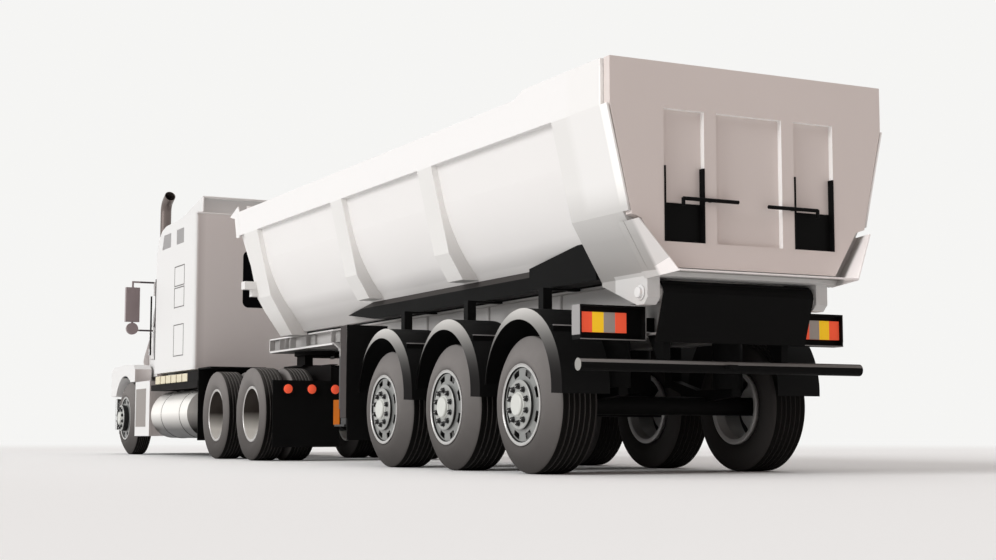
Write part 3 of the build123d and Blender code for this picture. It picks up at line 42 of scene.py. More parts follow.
AXLE_Z = 0.53
TYRE_R = 0.53
STEER_Y = -6.43
DRIVE = {"front": -1.95, "rear": -0.58}
TRAILER = {"front": 3.40, "middle": 4.76, "rear": 6.12}


# ---------------------------------------------------------------- meshes

ROD_EDGE = 0.25
ROD_EDGE_MOST = 0.004
STEEP = 0.1
MERGE = 1e-6
BEVEL_SEGMENTS = 2
SMOOTH = 35


class Piece:
    """Solids gathered into one mesh, then made into one object."""

    def __init__(self):
        self.verts, self.faces = [], []

    def add(self, verts, faces):
        start = len(self.verts)
        self.verts += [tuple(v) for v in verts]
        self.faces += [[start + i for i in face] for face in faces]
        return self

    def box(self, x, y, z):
        x, y, z = sorted(x), sorted(y), sorted(z)
        verts = [(a, b, c) for a in x for b in y for c in z]
        faces = [(0, 1, 3, 2), (4, 6, 7, 5), (0, 4, 5, 1), (2, 3, 7, 6), (0, 2, 6, 4), (1, 5, 7, 3)]
        return self.add(verts, faces)

    def pair(self, x, y, z):
        """The same box on the vehicle's left and right."""
        for side in SIDES.values():
            self.box([side * value for value in x], y, z)
        return self

    def loft(self, near, far):
        """A solid between two outlines with as many points each."""
        n = len(near)
        faces = [list(range(n)), list(range(2 * n - 1, n - 1, -1))]
        faces += [(i, (i + 1) % n, n + (i + 1) % n, n + i) for i in range(n)]
        return self.add(near + far, faces)

    def prism(self, axis, outline, span):
        """A plate whose outline lies across an axis: x (y, z), y (x, z) or z (x, y)."""
        def at(p, s):
            return {"x": (s, p[0], p[1]), "y": (p[0], s, p[1]), "z": (p[0], p[1], s)}[axis]

        return self.loft(*[[at(p, s) for p in outline] for s in span])

    def lathe(self, axis, centre, profile, seg, closed=True):
        """A solid turned about an axis, from (place along it, radius) points."""
        along = "xyz".index(axis)
        across, above = [i for i in range(3) if i != along]
        verts = []
        for k in range(seg):
            angle = 2 * pi * k / seg
            for place, radius in profile:
                vert = [0.0, 0.0, 0.0]
                vert[along] = place
                vert[across] = centre[0] + radius * cos(angle)
                vert[above] = centre[1] + radius * sin(angle)
                verts.append(vert)
        n = len(profile)
        faces = []
        for k in range(seg):
            m = (k + 1) % seg
            for i in range(n if closed else n - 1):
                j = (i + 1) % n
                faces.append((k * n + i, k * n + j, m * n + j, m * n + i))
        return self.add(verts, faces)

    def rod(self, axis, centre, radius, span, seg):
        """A round bar with chamfered ends."""
        low, high = sorted(span)
        edge = min(radius * ROD_EDGE, ROD_EDGE_MOST)
        profile = [(low, 0), (low, radius - edge), (low + edge, radius), (high - edge, radius),
                   (high, radius - edge), (high, 0)]
        return self.lathe(axis, centre, profile, seg, closed=False)

    def tube(self, path, radius, seg):
        """A bar that follows a path of points."""
        points = [Vector(p) for p in path]
        verts = []
        up = Vector((0, 0, 1))
        for i, p in enumerate(points):
            ahead = (points[min(i + 1, len(points) - 1)] - points[max(i - 1, 0)]).normalized()
            side = ahead.cross(up)
            if side.length < STEEP:
                side = ahead.cross(Vector((0, 1, 0)))
            side.normalize()
            top = side.cross(ahead)
            for k in range(seg):
                angle = 2 * pi * k / seg
                verts.append(p + radius * (cos(angle) * side + sin(angle) * top))
        faces = [list(range(seg)), list(range(len(verts) - 1, len(verts) - seg - 1, -1))]
        for i in range(len(points) - 1):
            for k in range(seg):
                m = (k + 1) % seg
                faces.append((i * seg + k, i * seg + m, (i + 1) * seg + m, (i + 1) * seg + k))
        return self.add(verts, faces)

    def make(self, name, material, body, bevel=0.0, smooth=SMOOTH, slot=None):
        """The object that rides on a body of the frame."""
        mesh = bpy.data.meshes.new(name)
        bm = bmesh.new()
        made = [bm.verts.new(v) for v in self.verts]
        for face in self.faces:
            bm.faces.new([made[i] for i in face])
        bmesh.ops.remove_doubles(bm, verts=bm.verts, dist=MERGE)
        bmesh.ops.recalc_face_normals(bm, faces=bm.faces)
        bm.to_mesh(mesh)
        bm.free()
        obj = bpy.data.objects.new(name, mesh)
        bpy.context.scene.collection.objects.link(obj)
        mesh.materials.append(material)
        mesh.shade_smooth()
        mesh.set_sharp_from_angle(angle=radians(smooth))
        if bevel:
            mod = obj.modifiers.new("edge", "BEVEL")
            mod.width = bevel
            mod.segments = BEVEL_SEGMENTS
            mod.limit_method = "ANGLE"
            mod.harden_normals = True
        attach(obj, body)
        return obj


# ---------------------------------------------------------------- materials

ROUGH_VARY = 0.12
NOISE_DETAIL = 4
BUMP_SCALE = 60.0
BUMP_DEPTH = 0.002
# tint of the painted shade laid low on surfaces
SHADE_TINT = (1.0, 0.985, 0.975)


class Look:
    """A node material with its colour and roughness varied by noise."""

    def __init__(self, name, colour, rough=0.5, metal=0.0, vary=0.04, scale=3.0, bump=0.0, **sockets):
        self.mat = bpy.data.materials.new(name)
        self.mat.use_nodes = True
        self.tree = self.mat.node_tree
        self.bsdf = self.tree.nodes["Principled BSDF"]
        self.coord = self.tree.nodes.new("ShaderNodeTexCoord")
        noise = self.noise(scale)
        dark = [c * (1 - vary) for c in colour]
        pale = [min(c * (1 + vary), 1) for c in colour]
        self.set_colour(self.mix(noise, dark, pale))
        span = self.tree.nodes.new("ShaderNodeMapRange")
        span.inputs["To Min"].default_value = rough * (1 - ROUGH_VARY)
        span.inputs["To Max"].default_value = min(rough * (1 + ROUGH_VARY), 1)
        self.link(noise, span.inputs["Value"])
        self.link(span.outputs["Result"], self.bsdf.inputs["Roughness"])
        self.bsdf.inputs["Metallic"].default_value = metal
        for socket, value in sockets.items():
            self.bsdf.inputs[socket.replace("_", " ")].default_value = value
        if bump:
            node = self.tree.nodes.new("ShaderNodeBump")
            node.inputs["Strength"].default_value = bump
            node.inputs["Distance"].default_value = BUMP_DEPTH
            self.link(self.noise(BUMP_SCALE), node.inputs["Height"])
            self.link(node.outputs["Normal"], self.bsdf.inputs["Normal"])

    def link(self, a, b):
        self.tree.links.new(a, b)

    def feed(self, socket, value):
        """Sets a socket to a colour or a number, or links it to another node's output."""
        if isinstance(value, bpy.types.NodeSocket):
            self.link(value, socket)
        elif isinstance(value, (tuple, list)):
            socket.default_value = (*value, 1)
        else:
            socket.default_value = value

    # sets the base colour, which also carries the painted light and shade laid over it
    def set_colour(self, colour):
        self.colour = colour
        self.link(colour, self.bsdf.inputs["Base Color"])

    def noise(self, scale):
        node = self.tree.nodes.new("ShaderNodeTexNoise")
        node.inputs["Scale"].default_value = scale
        node.inputs["Detail"].default_value = NOISE_DETAIL
        self.link(self.coord.outputs["Object"], node.inputs["Vector"])
        return node.outputs["Fac"]

    def mix(self, factor, first, second, blend="MIX"):
        node = self.tree.nodes.new("ShaderNodeMix")
        node.data_type = "RGBA"
        node.blend_type = blend
        self.feed(node.inputs["Factor"], factor)
        self.feed(node.inputs["A"], first)
        self.feed(node.inputs["B"], second)
        return node.outputs["Result"]

    def math(self, operation, *values):
        node = self.tree.nodes.new("ShaderNodeMath")
        node.operation = operation
        for socket, value in zip(node.inputs, values):
            self.feed(socket, value)
        return node.outputs["Value"]

    def ramp(self, value, low, high):
        node = self.tree.nodes.new("ShaderNodeMapRange")
        node.inputs["From Min"].default_value = low
        node.inputs["From Max"].default_value = high
        self.link(value, node.inputs["Value"])
        return node.outputs["Result"]

    def axis(self, which, source="Object"):
        """One component of the surface's place (Object) or Normal in the object's own frame."""
        node = self.tree.nodes.new("ShaderNodeSeparateXYZ")
        self.link(self.coord.outputs[source], node.inputs["Vector"])
        return node.outputs[which]

    def more(self, which, limit, source="Object"):
        return self.math("GREATER_THAN", self.axis(which, source), limit)

    def less(self, which, limit, source="Object"):
        return self.math("LESS_THAN", self.axis(which, source), limit)

    def wide(self, limit, source="Object"):
        """1 where x is further out than a limit, to either side."""
        return self.math("GREATER_THAN", self.math("ABSOLUTE", self.axis("X", source)), limit)

    def narrow(self, limit, source="Object"):
        """1 where x is nearer the middle than a limit, to either side."""
        return self.math("LESS_THAN", self.math("ABSOLUTE", self.axis("X", source)), limit)

    def rise(self, which, span, source="Object"):
        """From 0 to 1 as a component goes through a span."""
        return self.ramp(self.axis(which, source), *span)

    def both(self, first, second):
        return self.math("MULTIPLY", first, second)

    def either(self, first, second):
        return self.math("MAXIMUM", first, second)

    def inverse(self, value):
        return self.math("SUBTRACT", 1.0, value)

    def over(self, factor, colour):
        """Lays a second colour over the first by a factor."""
        self.set_colour(self.mix(factor, self.colour, colour))

    def shade_below(self, span, least):
        """Paints shade below a span of heights, darkening a paint down to a least share of its own level."""
        shade = self.mix(self.rise("Z", span), [least * tint for tint in SHADE_TINT], (1, 1, 1))
        self.set_colour(self.mix(1.0, self.colour, shade, "MULTIPLY"))


WHITE = (0.80, 0.79, 0.785)
BLACK = (0.006, 0.006, 0.006)
DULL = {"Specular_IOR_Level": 0.03}
COAT = {"Coat_Weight": 0.1, "Coat_Roughness": 0.2}
# name of the material, colour, roughness, metal, and what differs from a plain paint
LOOKS = {
    "white": Look("white_paint", (0.72, 0.715, 0.71), 0.38, vary=0.012, scale=1.5, **COAT),
    "body_white": Look("body_paint", (0.79, 0.775, 0.765), 0.42, vary=0.012, scale=1.5, **COAT),
    # the ribs' white is set darker than the body's as painted shade, under the painted light laid in
    # paint_ribs
    "rib": Look("rib_paint", (0.74, 0.73, 0.715), 0.42, vary=0.012, scale=1.5),
    # the gate is white paint, set darker and pinker here as painted shade
    "gate_white": Look("gate_shaded_paint", (0.695, 0.625, 0.597), 0.5, vary=0.035, scale=0.9),
    "door": Look("door_paint", WHITE, 0.38, vary=0.012, scale=1.5),
    "black": Look("black_paint", BLACK, 0.42, vary=0.15, **DULL),
    "satin": Look("satin_black", (0.008, 0.007, 0.007), 0.55, vary=0.15, **DULL),
    "grey": Look("grey_paint", (0.30, 0.29, 0.29), 0.42, vary=0.04),
    "beam": Look("beam_paint", (0.52, 0.505, 0.495), 0.40, vary=0.03),
    "edge": Look("edge_paint", (0.80, 0.79, 0.78), 0.40, vary=0.02),
    "hatch": Look("hatched_grey", (0.40, 0.39, 0.38), 0.5, vary=0.04),
    "deck": Look("deck_plate", (0.060, 0.053, 0.052), 0.5, vary=0.1, **DULL),
    "chrome": Look("chrome_plate", (0.82, 0.82, 0.82), 0.12, 1.0, vary=0.02),
    "bar": Look("guard_bar", BLACK, 0.4, vary=0.1, **DULL),
    "tank": Look("tank_skin", (0.93, 0.91, 0.87), 0.30, 0.25, vary=0.03),
    "alloy": Look("wheel_alloy", (0.52, 0.52, 0.51), 0.38, 0.45, vary=0.05, scale=12),
    "drive_alloy": Look("drive_alloy", (0.50, 0.49, 0.47), 0.4, 0.3, vary=0.05, scale=12),
    "bright": Look("bright_rim", (0.48, 0.47, 0.46), 0.3, 0.25, vary=0.02),
    "hub": Look("hub_metal", (0.38, 0.385, 0.372), 0.45, 0.25, vary=0.12, scale=22),
    "hub_disc": Look("disc_metal", (0.25, 0.255, 0.248), 0.36, 0.4, vary=0.15, scale=18),
    "cap": Look("cap_metal", (0.60, 0.61, 0.58), 0.5, 0.1, vary=0.02),
    "cup": Look("nut_cover", (0.010, 0.010, 0.010), 0.25, vary=0.1, Specular_IOR_Level=0.3),
    "stack": Look("stack_metal", (0.17, 0.14, 0.13), 0.35, 0.6, vary=0.08),
    "rubber": Look("tyre_rubber", (0.195, 0.183, 0.177), 0.75, vary=0.08, scale=8, bump=0.15, **DULL),
    "flap": Look("flap_rubber", BLACK, 0.6, vary=0.2, scale=6, **DULL),
    "seal": Look("seal_rubber", (0.004, 0.004, 0.004), 0.6, **DULL),
    "iron": Look("cast_metal", (0.008, 0.008, 0.008), 0.55, 0.1, vary=0.2, scale=9, bump=0.2, **DULL),
    "interior": Look("cabin_trim", (0.05, 0.048, 0.046), 0.7, bump=0.1),
    "glass": Look("dark_glass", (0.004, 0.004, 0.005), 0.10, vary=0.05, **DULL),
    "steel": Look("hoist_steel", (0.45, 0.45, 0.46), 0.28, 0.9, vary=0.05, scale=14),
    "louvre": Look("louvre_grey", (0.34, 0.33, 0.33), 0.5, vary=0.03),
    "beige": Look("beige_block", (0.68, 0.62, 0.46), 0.5, vary=0.06),
    "panel": Look("step_panel", (0.25, 0.225, 0.21), 0.45, vary=0.05),
    "line": Look("panel_line", (0.10, 0.095, 0.09), 0.6),
    "red": Look("red_lens", (0.95, 0.125, 0.06), 0.35, vary=0.03, Emission_Strength=0.22,
                Emission_Color=(1.0, 0.12, 0.05, 1), **DULL),
    "amber": Look("amber_lens", (0.95, 0.60, 0.035), 0.35, vary=0.03, Emission_Strength=0.25,
                  Emission_Color=(1.0, 0.56, 0.02, 1), **DULL),
    "lens_grey": Look("grey_lens", (0.40, 0.345, 0.31), 0.35, vary=0.03),
    "guard": Look("guard_paint", (0.007, 0.007, 0.007), 0.6, vary=0.15, Specular_IOR_Level=0.06),
    "runner": Look("runner_paint", (0.005, 0.005, 0.005), 0.45, vary=0.1, **DULL),
    "marker": Look("orange_marker", (0.40, 0.10, 0.004), 0.4, vary=0.05, **DULL),
}


# how far a surface has to face a way before it counts as facing it
SIDEWAYS = 0.5
REARWARD = 0.7
# where the painted light and shade on the body and its ribs change
BODY_SIDE = 1.205
BAY_Y = (6.60, 6.72)
BODY_LIGHT_Z = (1.95, 2.35)
BODY_SHADE_Z = (1.57, 1.82)
RIB_LIGHT_Z = (1.80, 2.20)
RIB_TAIL_Z = (1.70, 2.10)
RIB_SHADE_Z = (1.50, 1.72)
RIB_FACING = 0.3
TAIL_SHADE = 0.85
FRAME_LIGHT_Z = (1.90, 2.10)
MIDDLE_RIB_Y = 5.0
FRAME_Y = (6.90, 7.00)
GATE_FRAME_Y = (7.40, 7.42)
SPOUT_Y = (7.50, 7.54)
NEAR_WING_X = 0.85
RAIL_Z = 2.615
EAR_Z = 1.46
# colours of painted light on the body and its ribs
PALE = (0.95, 0.94, 0.92)
FAR_WING = (0.96, 0.92, 0.91)


def paint_body(look):
    """The half-pipe's skin with painted light and shade: paler in its rear bay and on rearward faces, painted
    shade along its foot, and set painted levels behind the gate, palest on the far wing.
    """
    look.over(look.wide(BODY_SIDE), WHITE)
    # painted light: paler in the rear bay, and on rearward faces high up and ahead of the middle rib
    look.over(look.rise("Y", BAY_Y), PALE)
    lit = look.either(look.rise("Z", BODY_LIGHT_Z), look.less("Y", MIDDLE_RIB_Y))
    look.over(look.both(look.more("Y", REARWARD, "Normal"), lit), (0.96, 0.945, 0.93))
    look.shade_below(BODY_SHADE_Z, least=0.60)
    # painted light and shade behind the gate: a set level on the spout, palest on the far wing
    look.over(look.rise("Y", SPOUT_Y), (0.78, 0.76, 0.75))
    look.over(look.both(look.rise("Y", SPOUT_Y), look.less("X", NEAR_WING_X)), FAR_WING)


def paint_ribs(look):
    """Ribs, rails, the frame beside the gate, the pivot ears and the spout's wings, with painted light on
    rearward faces and high up, and painted shade on the rearmost rib's foot, low down and on the ears.
    """
    look.over(look.both(look.more("Y", RIB_FACING, "Normal"), look.rise("Z", RIB_LIGHT_Z)), PALE)
    tail = look.both(look.more("Y", BAY_Y[0]), look.inverse(look.rise("Z", RIB_TAIL_Z)))
    look.over(look.both(tail, TAIL_SHADE), (0.37, 0.36, 0.35))
    look.shade_below(RIB_SHADE_Z, least=0.84)
    look.over(look.more("Z", RAIL_Z), WHITE)
    tall = look.rise("Z", FRAME_LIGHT_Z)
    look.over(look.both(look.rise("Y", FRAME_Y), tall), (0.79, 0.78, 0.77))
    look.over(look.both(look.rise("Y", GATE_FRAME_Y), tall), PALE)
    # painted shade on the pivot ears, then set levels of painted light on the spout's wings
    look.over(look.both(look.more("Y", FRAME_Y[0]), look.less("Z", EAR_Z)), (0.58, 0.57, 0.56))
    spout = look.rise("Y", SPOUT_Y)
    look.over(spout, (0.69, 0.665, 0.655))
    look.over(look.both(spout, look.less("X", NEAR_WING_X)), FAR_WING)


GATE_FOOT_Z = (1.38, 1.66)
GATE_PANELS_X = 0.85
FOOT_LIGHT = 0.35


def paint_gate(look):
    """Painted highlights along the edges of the gate's panels, and painted light that pales its foot."""
    foot = look.inverse(look.rise("Z", GATE_FOOT_Z))
    look.over(look.both(foot, FOOT_LIGHT), (0.95, 0.90, 0.88))
    facing = look.either(look.more("X", SIDEWAYS, "Normal"), look.less("Z", -SIDEWAYS, "Normal"))
    look.over(look.both(look.narrow(GATE_PANELS_X), facing), (0.97, 0.96, 0.95))


BEAM_SHADE_Z = (1.08, 1.48)
LEGS_Y = 3.0
LEGS_Z = 1.10


def paint_beam(look):
    """The trailer's beam, with painted shade low down, and its landing legs dark."""
    look.shade_below(BEAM_SHADE_Z, least=0.38)
    look.over(look.both(look.less("Y", LEGS_Y), look.less("Z", LEGS_Z)), (0.012, 0.011, 0.011))


TANK_SHADE_Z = (0.36, 0.58)


def paint_tank(look):
    """Painted shade darkens the tanks' bellies."""
    look.shade_below(TANK_SHADE_Z, least=0.03)


MIRROR_ARM_X = 0.96
MIRROR_X = 1.16


def paint_doors(look):
    """Mirrors and their arms stand outside the door's own panel."""
    look.over(look.wide(MIRROR_ARM_X), (0.055, 0.043, 0.045))
    look.over(look.wide(MIRROR_X), (0.30, 0.245, 0.25))


TYRE_SHADE_Z = (0.02, 0.92)
TREAD_LIGHT_Z = (0.70, 1.06)
TREAD_FACING = 0.40
INBOARD = -0.2


def paint_rubber(look):
    """Painted shade darkens each tyre towards the floor and on its inboard walls; the tread is darker than
    the walls, with painted light greying it high up.
    """
    look.shade_below(TYRE_SHADE_Z, least=0.32)
    tread = look.mix(look.rise("Z", TREAD_LIGHT_Z), (0.007, 0.0065, 0.006), (0.070, 0.065, 0.062))
    look.over(look.narrow(TREAD_FACING, "Normal"), tread)
    outward = look.both(look.axis("X", "Normal"), look.axis("X"))
    look.over(look.math("LESS_THAN", outward, INBOARD), (0.040, 0.037, 0.036))


BARREL_FACING = (-0.10, 0.60)
BARREL_DARK = (0.035, 0.034, 0.033)
RIM_OUTER_X = 1.05


def paint_barrel(look, dark, bright):
    """A rim's barrel with a painted reflection, dark on top and bright at its bottom where it faces the
    floor's light.
    """
    light = look.mix(look.rise("Z", BARREL_FACING, "Normal"), dark, bright)
    look.over(look.narrow(SIDEWAYS, "Normal"), light)


def paint_single_rim(look):
    """A single wheel's barrel, with painted shade darkening it outside its disc."""
    paint_barrel(look, BARREL_DARK, (0.60, 0.60, 0.59))
    look.over(look.both(look.narrow(SIDEWAYS, "Normal"), look.wide(RIM_OUTER_X)), BARREL_DARK)


def paint_drive_rim(look):
    """A drive wheel's barrel is deeper, and the painted reflection in it warmer."""
    paint_barrel(look, (0.030, 0.022, 0.018), (0.85, 0.82, 0.77))


FLANGE_FACING = 0.6


def paint_hub(look):
    """Painted shade darkens the flange's side; its face is bare metal."""
    look.over(look.narrow(FLANGE_FACING, "Normal"), (0.010, 0.010, 0.010))


SLEEPER_ROOF_Z = 3.18
CORNER_X = (1.00, 1.15)
BACK_FACING = 0.9
CORNER_SHADE = 0.55


def paint_cab(look):
    """Painted shade on the sleeper's back wall, deeper towards its corners."""
    back = look.both(look.more("Y", BACK_FACING, "Normal"), look.less("Z", SLEEPER_ROOF_Z))
    look.over(back, (0.735, 0.69, 0.675))
    corner = look.both(back, look.ramp(look.math("ABSOLUTE", look.axis("X")), *CORNER_X))
    look.over(look.both(corner, CORNER_SHADE), (0.33, 0.29, 0.28))


BAR_CROWN = (0.35, 0.85)
BAR_TOP_Z = 0.96
BAR_END_X = 1.05
END_FACING = 0.8


def paint_bar(look):
    """Painted highlights on the underrun bar's crown and its ends, kept off the apron above them."""
    low, high = BAR_CROWN
    crown = look.both(look.more("Z", low, "Normal"), look.less("Z", high, "Normal"))
    look.over(look.both(crown, look.less("Z", BAR_TOP_Z)), (0.20, 0.195, 0.19))
    look.over(look.both(look.wide(END_FACING, "Normal"), look.wide(BAR_END_X)), (0.30, 0.295, 0.28))


GUARD_LIP_X = 1.16
LIP_FACING = 0.7
GUARD_LIP_Z = (0.66, 1.27)
LIP_POWER = 3.0


def paint_guards(look):
    """Painted light on a mudguard's outer lip, brightest at its crown."""
    lip = look.both(look.wide(LIP_FACING, "Normal"), look.wide(GUARD_LIP_X))
    height = look.math("POWER", look.rise("Z", GUARD_LIP_Z), LIP_POWER)
    look.over(lip, look.mix(height, (0.012, 0.011, 0.011), (0.56, 0.55, 0.53)))


RUNNER_TOP_Z = 1.585
RUNNER_GUSSET_Y = 5.6


def paint_runner(look):
    """The top of the sub-frame is a little paler, ahead of its rear gusset."""
    look.over(look.both(look.more("Z", RUNNER_TOP_Z), look.less("Y", RUNNER_GUSSET_Y)), (0.055, 0.050, 0.048))


for key, paint in {"body_white": paint_body, "rib": paint_ribs, "gate_white": paint_gate, "beam": paint_beam,
                   "tank": paint_tank, "door": paint_doors, "rubber": paint_rubber, "alloy": paint_single_rim,
                   "drive_alloy": paint_drive_rim, "hub": paint_hub, "white": paint_cab, "bar": paint_bar,
                   "guard": paint_guards, "runner": paint_runner}.items():
    paint(LOOKS[key])
M = {key: look.mat for key, look in LOOKS.items()}

# the look of each node of the frame; nodes that aren't listed, such as the hoist's tubes, are steel
NODE_LOOKS = {
    "cab_shell": "white", "hood": "white", "door_left": "door", "door_right": "door", "side_steps": "white",
    "tipping_body": "body_white", "body_ribs": "rib", "tailgate": "gate_white", "tractor_frame": "satin",
    "mud_flaps": "flap", "rear_guard": "bar", "lamp_boxes": "black", "gate_latches": "black",
    "trailer_frame": "beam", "front_bumper": "chrome", "grille_and_lamps": "chrome",
    "exhaust_stacks": "stack", "fuel_tanks": "tank", "cab_glass": "glass", "door_glass_left": "glass",
    "door_glass_right": "glass",
    "rear_lamps": "red", "engine": "iron", "tractor_axles": "iron", "trailer_axles": "iron",
    "knuckle_left": "iron", "knuckle_right": "iron", "cab_interior": "interior", "mudguards": "guard",
    "body_subframe": "runner",
}
# wheels by how their nodes' names start; the first that fits counts
WHEEL_LOOKS = {"tyre": "rubber", "rims": "drive_alloy", "rim": "alloy"}
for name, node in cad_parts.items():
    wheel_keys = [key for start, key in WHEEL_LOOKS.items() if name.startswith(start)]
    key = wheel_keys[0] if wheel_keys else NODE_LOOKS.get(name, "steel")
    node.data.materials.clear()
    node.data.materials.append(M[key])

# ---------------------------------------------------------------- wheels

RIBS = 6
GROOVE = 0.011
GROOVE_DEPTH = 0.013
GROOVE_LEAN = 0.002
RIB_EDGE = (0.003, 0.0012)
SHOULDER = 0.006
TYRE_SEGMENTS = 96
RIM_SEGMENTS = 72
FLANGE_SEGMENTS = 64
CAP_SEGMENTS = 48
NUT_SEGMENTS = 16
STUD_SEGMENTS = 8
STEER_TYRE = (0.885, 1.190)
TRAILER_TYRE = (0.787, 1.197)
DRIVE_TYRES = ((0.87, 1.19), (0.51, 0.83))
ALLOY = "wheel_aluminium"
TYRE_SLOT = "tyre_rubber"

# how far in from a tyre's face its wall stands, at each radius
WALLS = {
    "single": [(0.020, 0.300), (0.020, 0.321), (0.008, 0.333), (0.000, 0.350), (0.002, 0.380), (0.015, 0.415),
               (0.033, 0.450), (0.052, 0.482), (0.067, 0.505), (0.077, 0.520), (0.086, 0.528)],
    "twin": [(0.045, 0.300), (0.045, 0.322), (0.026, 0.340), (0.006, 0.376), (0.000, 0.415), (0.003, 0.452),
             (0.012, 0.485), (0.020, 0.505), (0.027, 0.520), (0.040, 0.528)],
}


def tyre_profile(inner, outer, kind):
    """Section of a tyre with its ribbed tread, from the inner bead round to the outer bead."""
    left = [(inner + inset, r) for inset, r in WALLS["twin"]]
    right = [(outer - inset, r) for inset, r in WALLS[kind]]
    start, end = left[-1][0] + SHOULDER, right[-1][0] - SHOULDER
    step = (end - start) / RIBS
    edge, drop = RIB_EDGE
    tread = []
    for i in range(RIBS):
        low, high = start + i * step, start + (i + 1) * step
        if i:
            low += GROOVE / 2
            tread += [(low - GROOVE_LEAN, TYRE_R - GROOVE_DEPTH)]
        tread += [(low, TYRE_R - drop), (low + edge, TYRE_R)]
        if i < RIBS - 1:
            high -= GROOVE / 2
        tread += [(high - edge, TYRE_R), (high, TYRE_R - drop)]
        if i < RIBS - 1:
            tread += [(high + GROOVE_LEAN, TYRE_R - GROOVE_DEPTH)]
    return left + tread + list(reversed(right))


def turned(piece, side, y, start, section, seg, closed=True):
    """Turns a section, given outward from a place on the axle, about a wheel's axle."""
    piece.lathe("x", (y, AXLE_Z), [(side * (start + x), r) for x, r in section], seg, closed)
    return piece


def tyres(name, node, body, side, y, spans, kind):
    """One wheel's tyres as one piece, which takes the place of the frame's plain node."""
    piece = Piece()
    for inner, outer in spans:
        turned(piece, side, y, 0.0, tyre_profile(inner, outer, kind), TYRE_SEGMENTS)
    obj = piece.make(name, M["rubber"], body, slot=TYRE_SLOT)
    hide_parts(node)


DISC_RADII = (0.180, 0.226, 0.274, 0.2905)
DISC_THICK = 0.010
DISC_LEAN = 0.006
HAND_HOLES = 8
# shares of one hole's turn at which the disc's cells meet, and the cells of its middle ring that are open
CELL_TURNS = (0.0, 0.1, 0.27, 0.5, 0.73, 0.9)
OPEN_CELLS = (2, 3)
OPEN_RING = 1


def disc_plate(side, y, plane):
    """A single wheel's disc, as the cells of a ring with the hand holes left out."""
    turns = [2 * pi * (k + part) / HAND_HOLES for k in range(HAND_HOLES) for part in CELL_TURNS]
    n = len(turns)
    first, last = DISC_RADII[0], DISC_RADII[-1]
    verts = []
    for depth in (0.0, DISC_THICK):
        for r in DISC_RADII:
            x = side * (plane - DISC_LEAN * (r - first) / (last - first) - depth)
            verts += [(x, y + r * sin(t), AXLE_Z + r * cos(t)) for t in turns]
    layer = n * len(DISC_RADII)
    cells = [(i, k) for i in range(len(DISC_RADII) - 1) for k in range(n)]
    solid = [(i, k) for i, k in cells if not (i == OPEN_RING and k % len(CELL_TURNS) in OPEN_CELLS)]
    faces = []
    for i, k in solid:
        m = (k + 1) % n
        a, b, c, d = i * n + k, i * n + m, (i + 1) * n + m, (i + 1) * n + k
        faces += [(a, b, c, d), (a + layer, d + layer, c + layer, b + layer)]
        for p, q, beside in ((a, b, (i - 1, k)), (c, d, (i + 1, k)),
                             (b, c, (i, m)), (d, a, (i, (k - 1) % n))):
            if beside not in solid:
                faces.append((q, p, p + layer, q + layer))
    return Piece().add(verts, faces)


STUDS = 10
STUD_CIRCLE = 0.141     # radius
STUD_R = 0.005
STUD_REACH = (0.024, 0.030)
LIP_INSET = 0.015
FACE_INSET = 0.0415
DISC_INSET = 0.004
FLANGE_R = (0.186, 0.192)
FLANGE_EDGE = 0.006
SUNK = 0.002
# sections turned about the axle: outward place, radius
LIP = ((-0.020, 0.2915), (-0.020, 0.302), (-0.004, 0.3115), (0.001, 0.3165), (0.006, 0.3155), (0.008, 0.311),
       (0.005, 0.305), (-0.004, 0.300), (-0.012, 0.2925))
DISC_SEAM = ((-0.012, 0.282), (-0.0085, 0.282), (-0.0085, 0.2915), (-0.012, 0.2915))
NUT_COVER = ((-0.002, 0.0), (-0.002, 0.025), (0.004, 0.025), (0.008, 0.021), (0.022, 0.020), (0.027, 0.015),
             (0.027, 0.0))
HUB_CAP = ((-0.002, 0.0), (-0.002, 0.096), (0.006, 0.096), (0.009, 0.088), (0.022, 0.086), (0.029, 0.079),
           (0.031, 0.0))
INNER_EDGE = ((0.006, 0.311), (0.003, 0.306), (0.003, 0.296), (0.010, 0.270), (0.090, 0.258), (0.090, 0.268),
              (0.030, 0.280), (0.022, 0.311))
DRIVE_LIP = ((1.134, 0.296), (1.136, 0.314), (1.146, 0.320), (1.156, 0.317), (1.158, 0.306), (1.150, 0.297),
             (1.142, 0.2925))


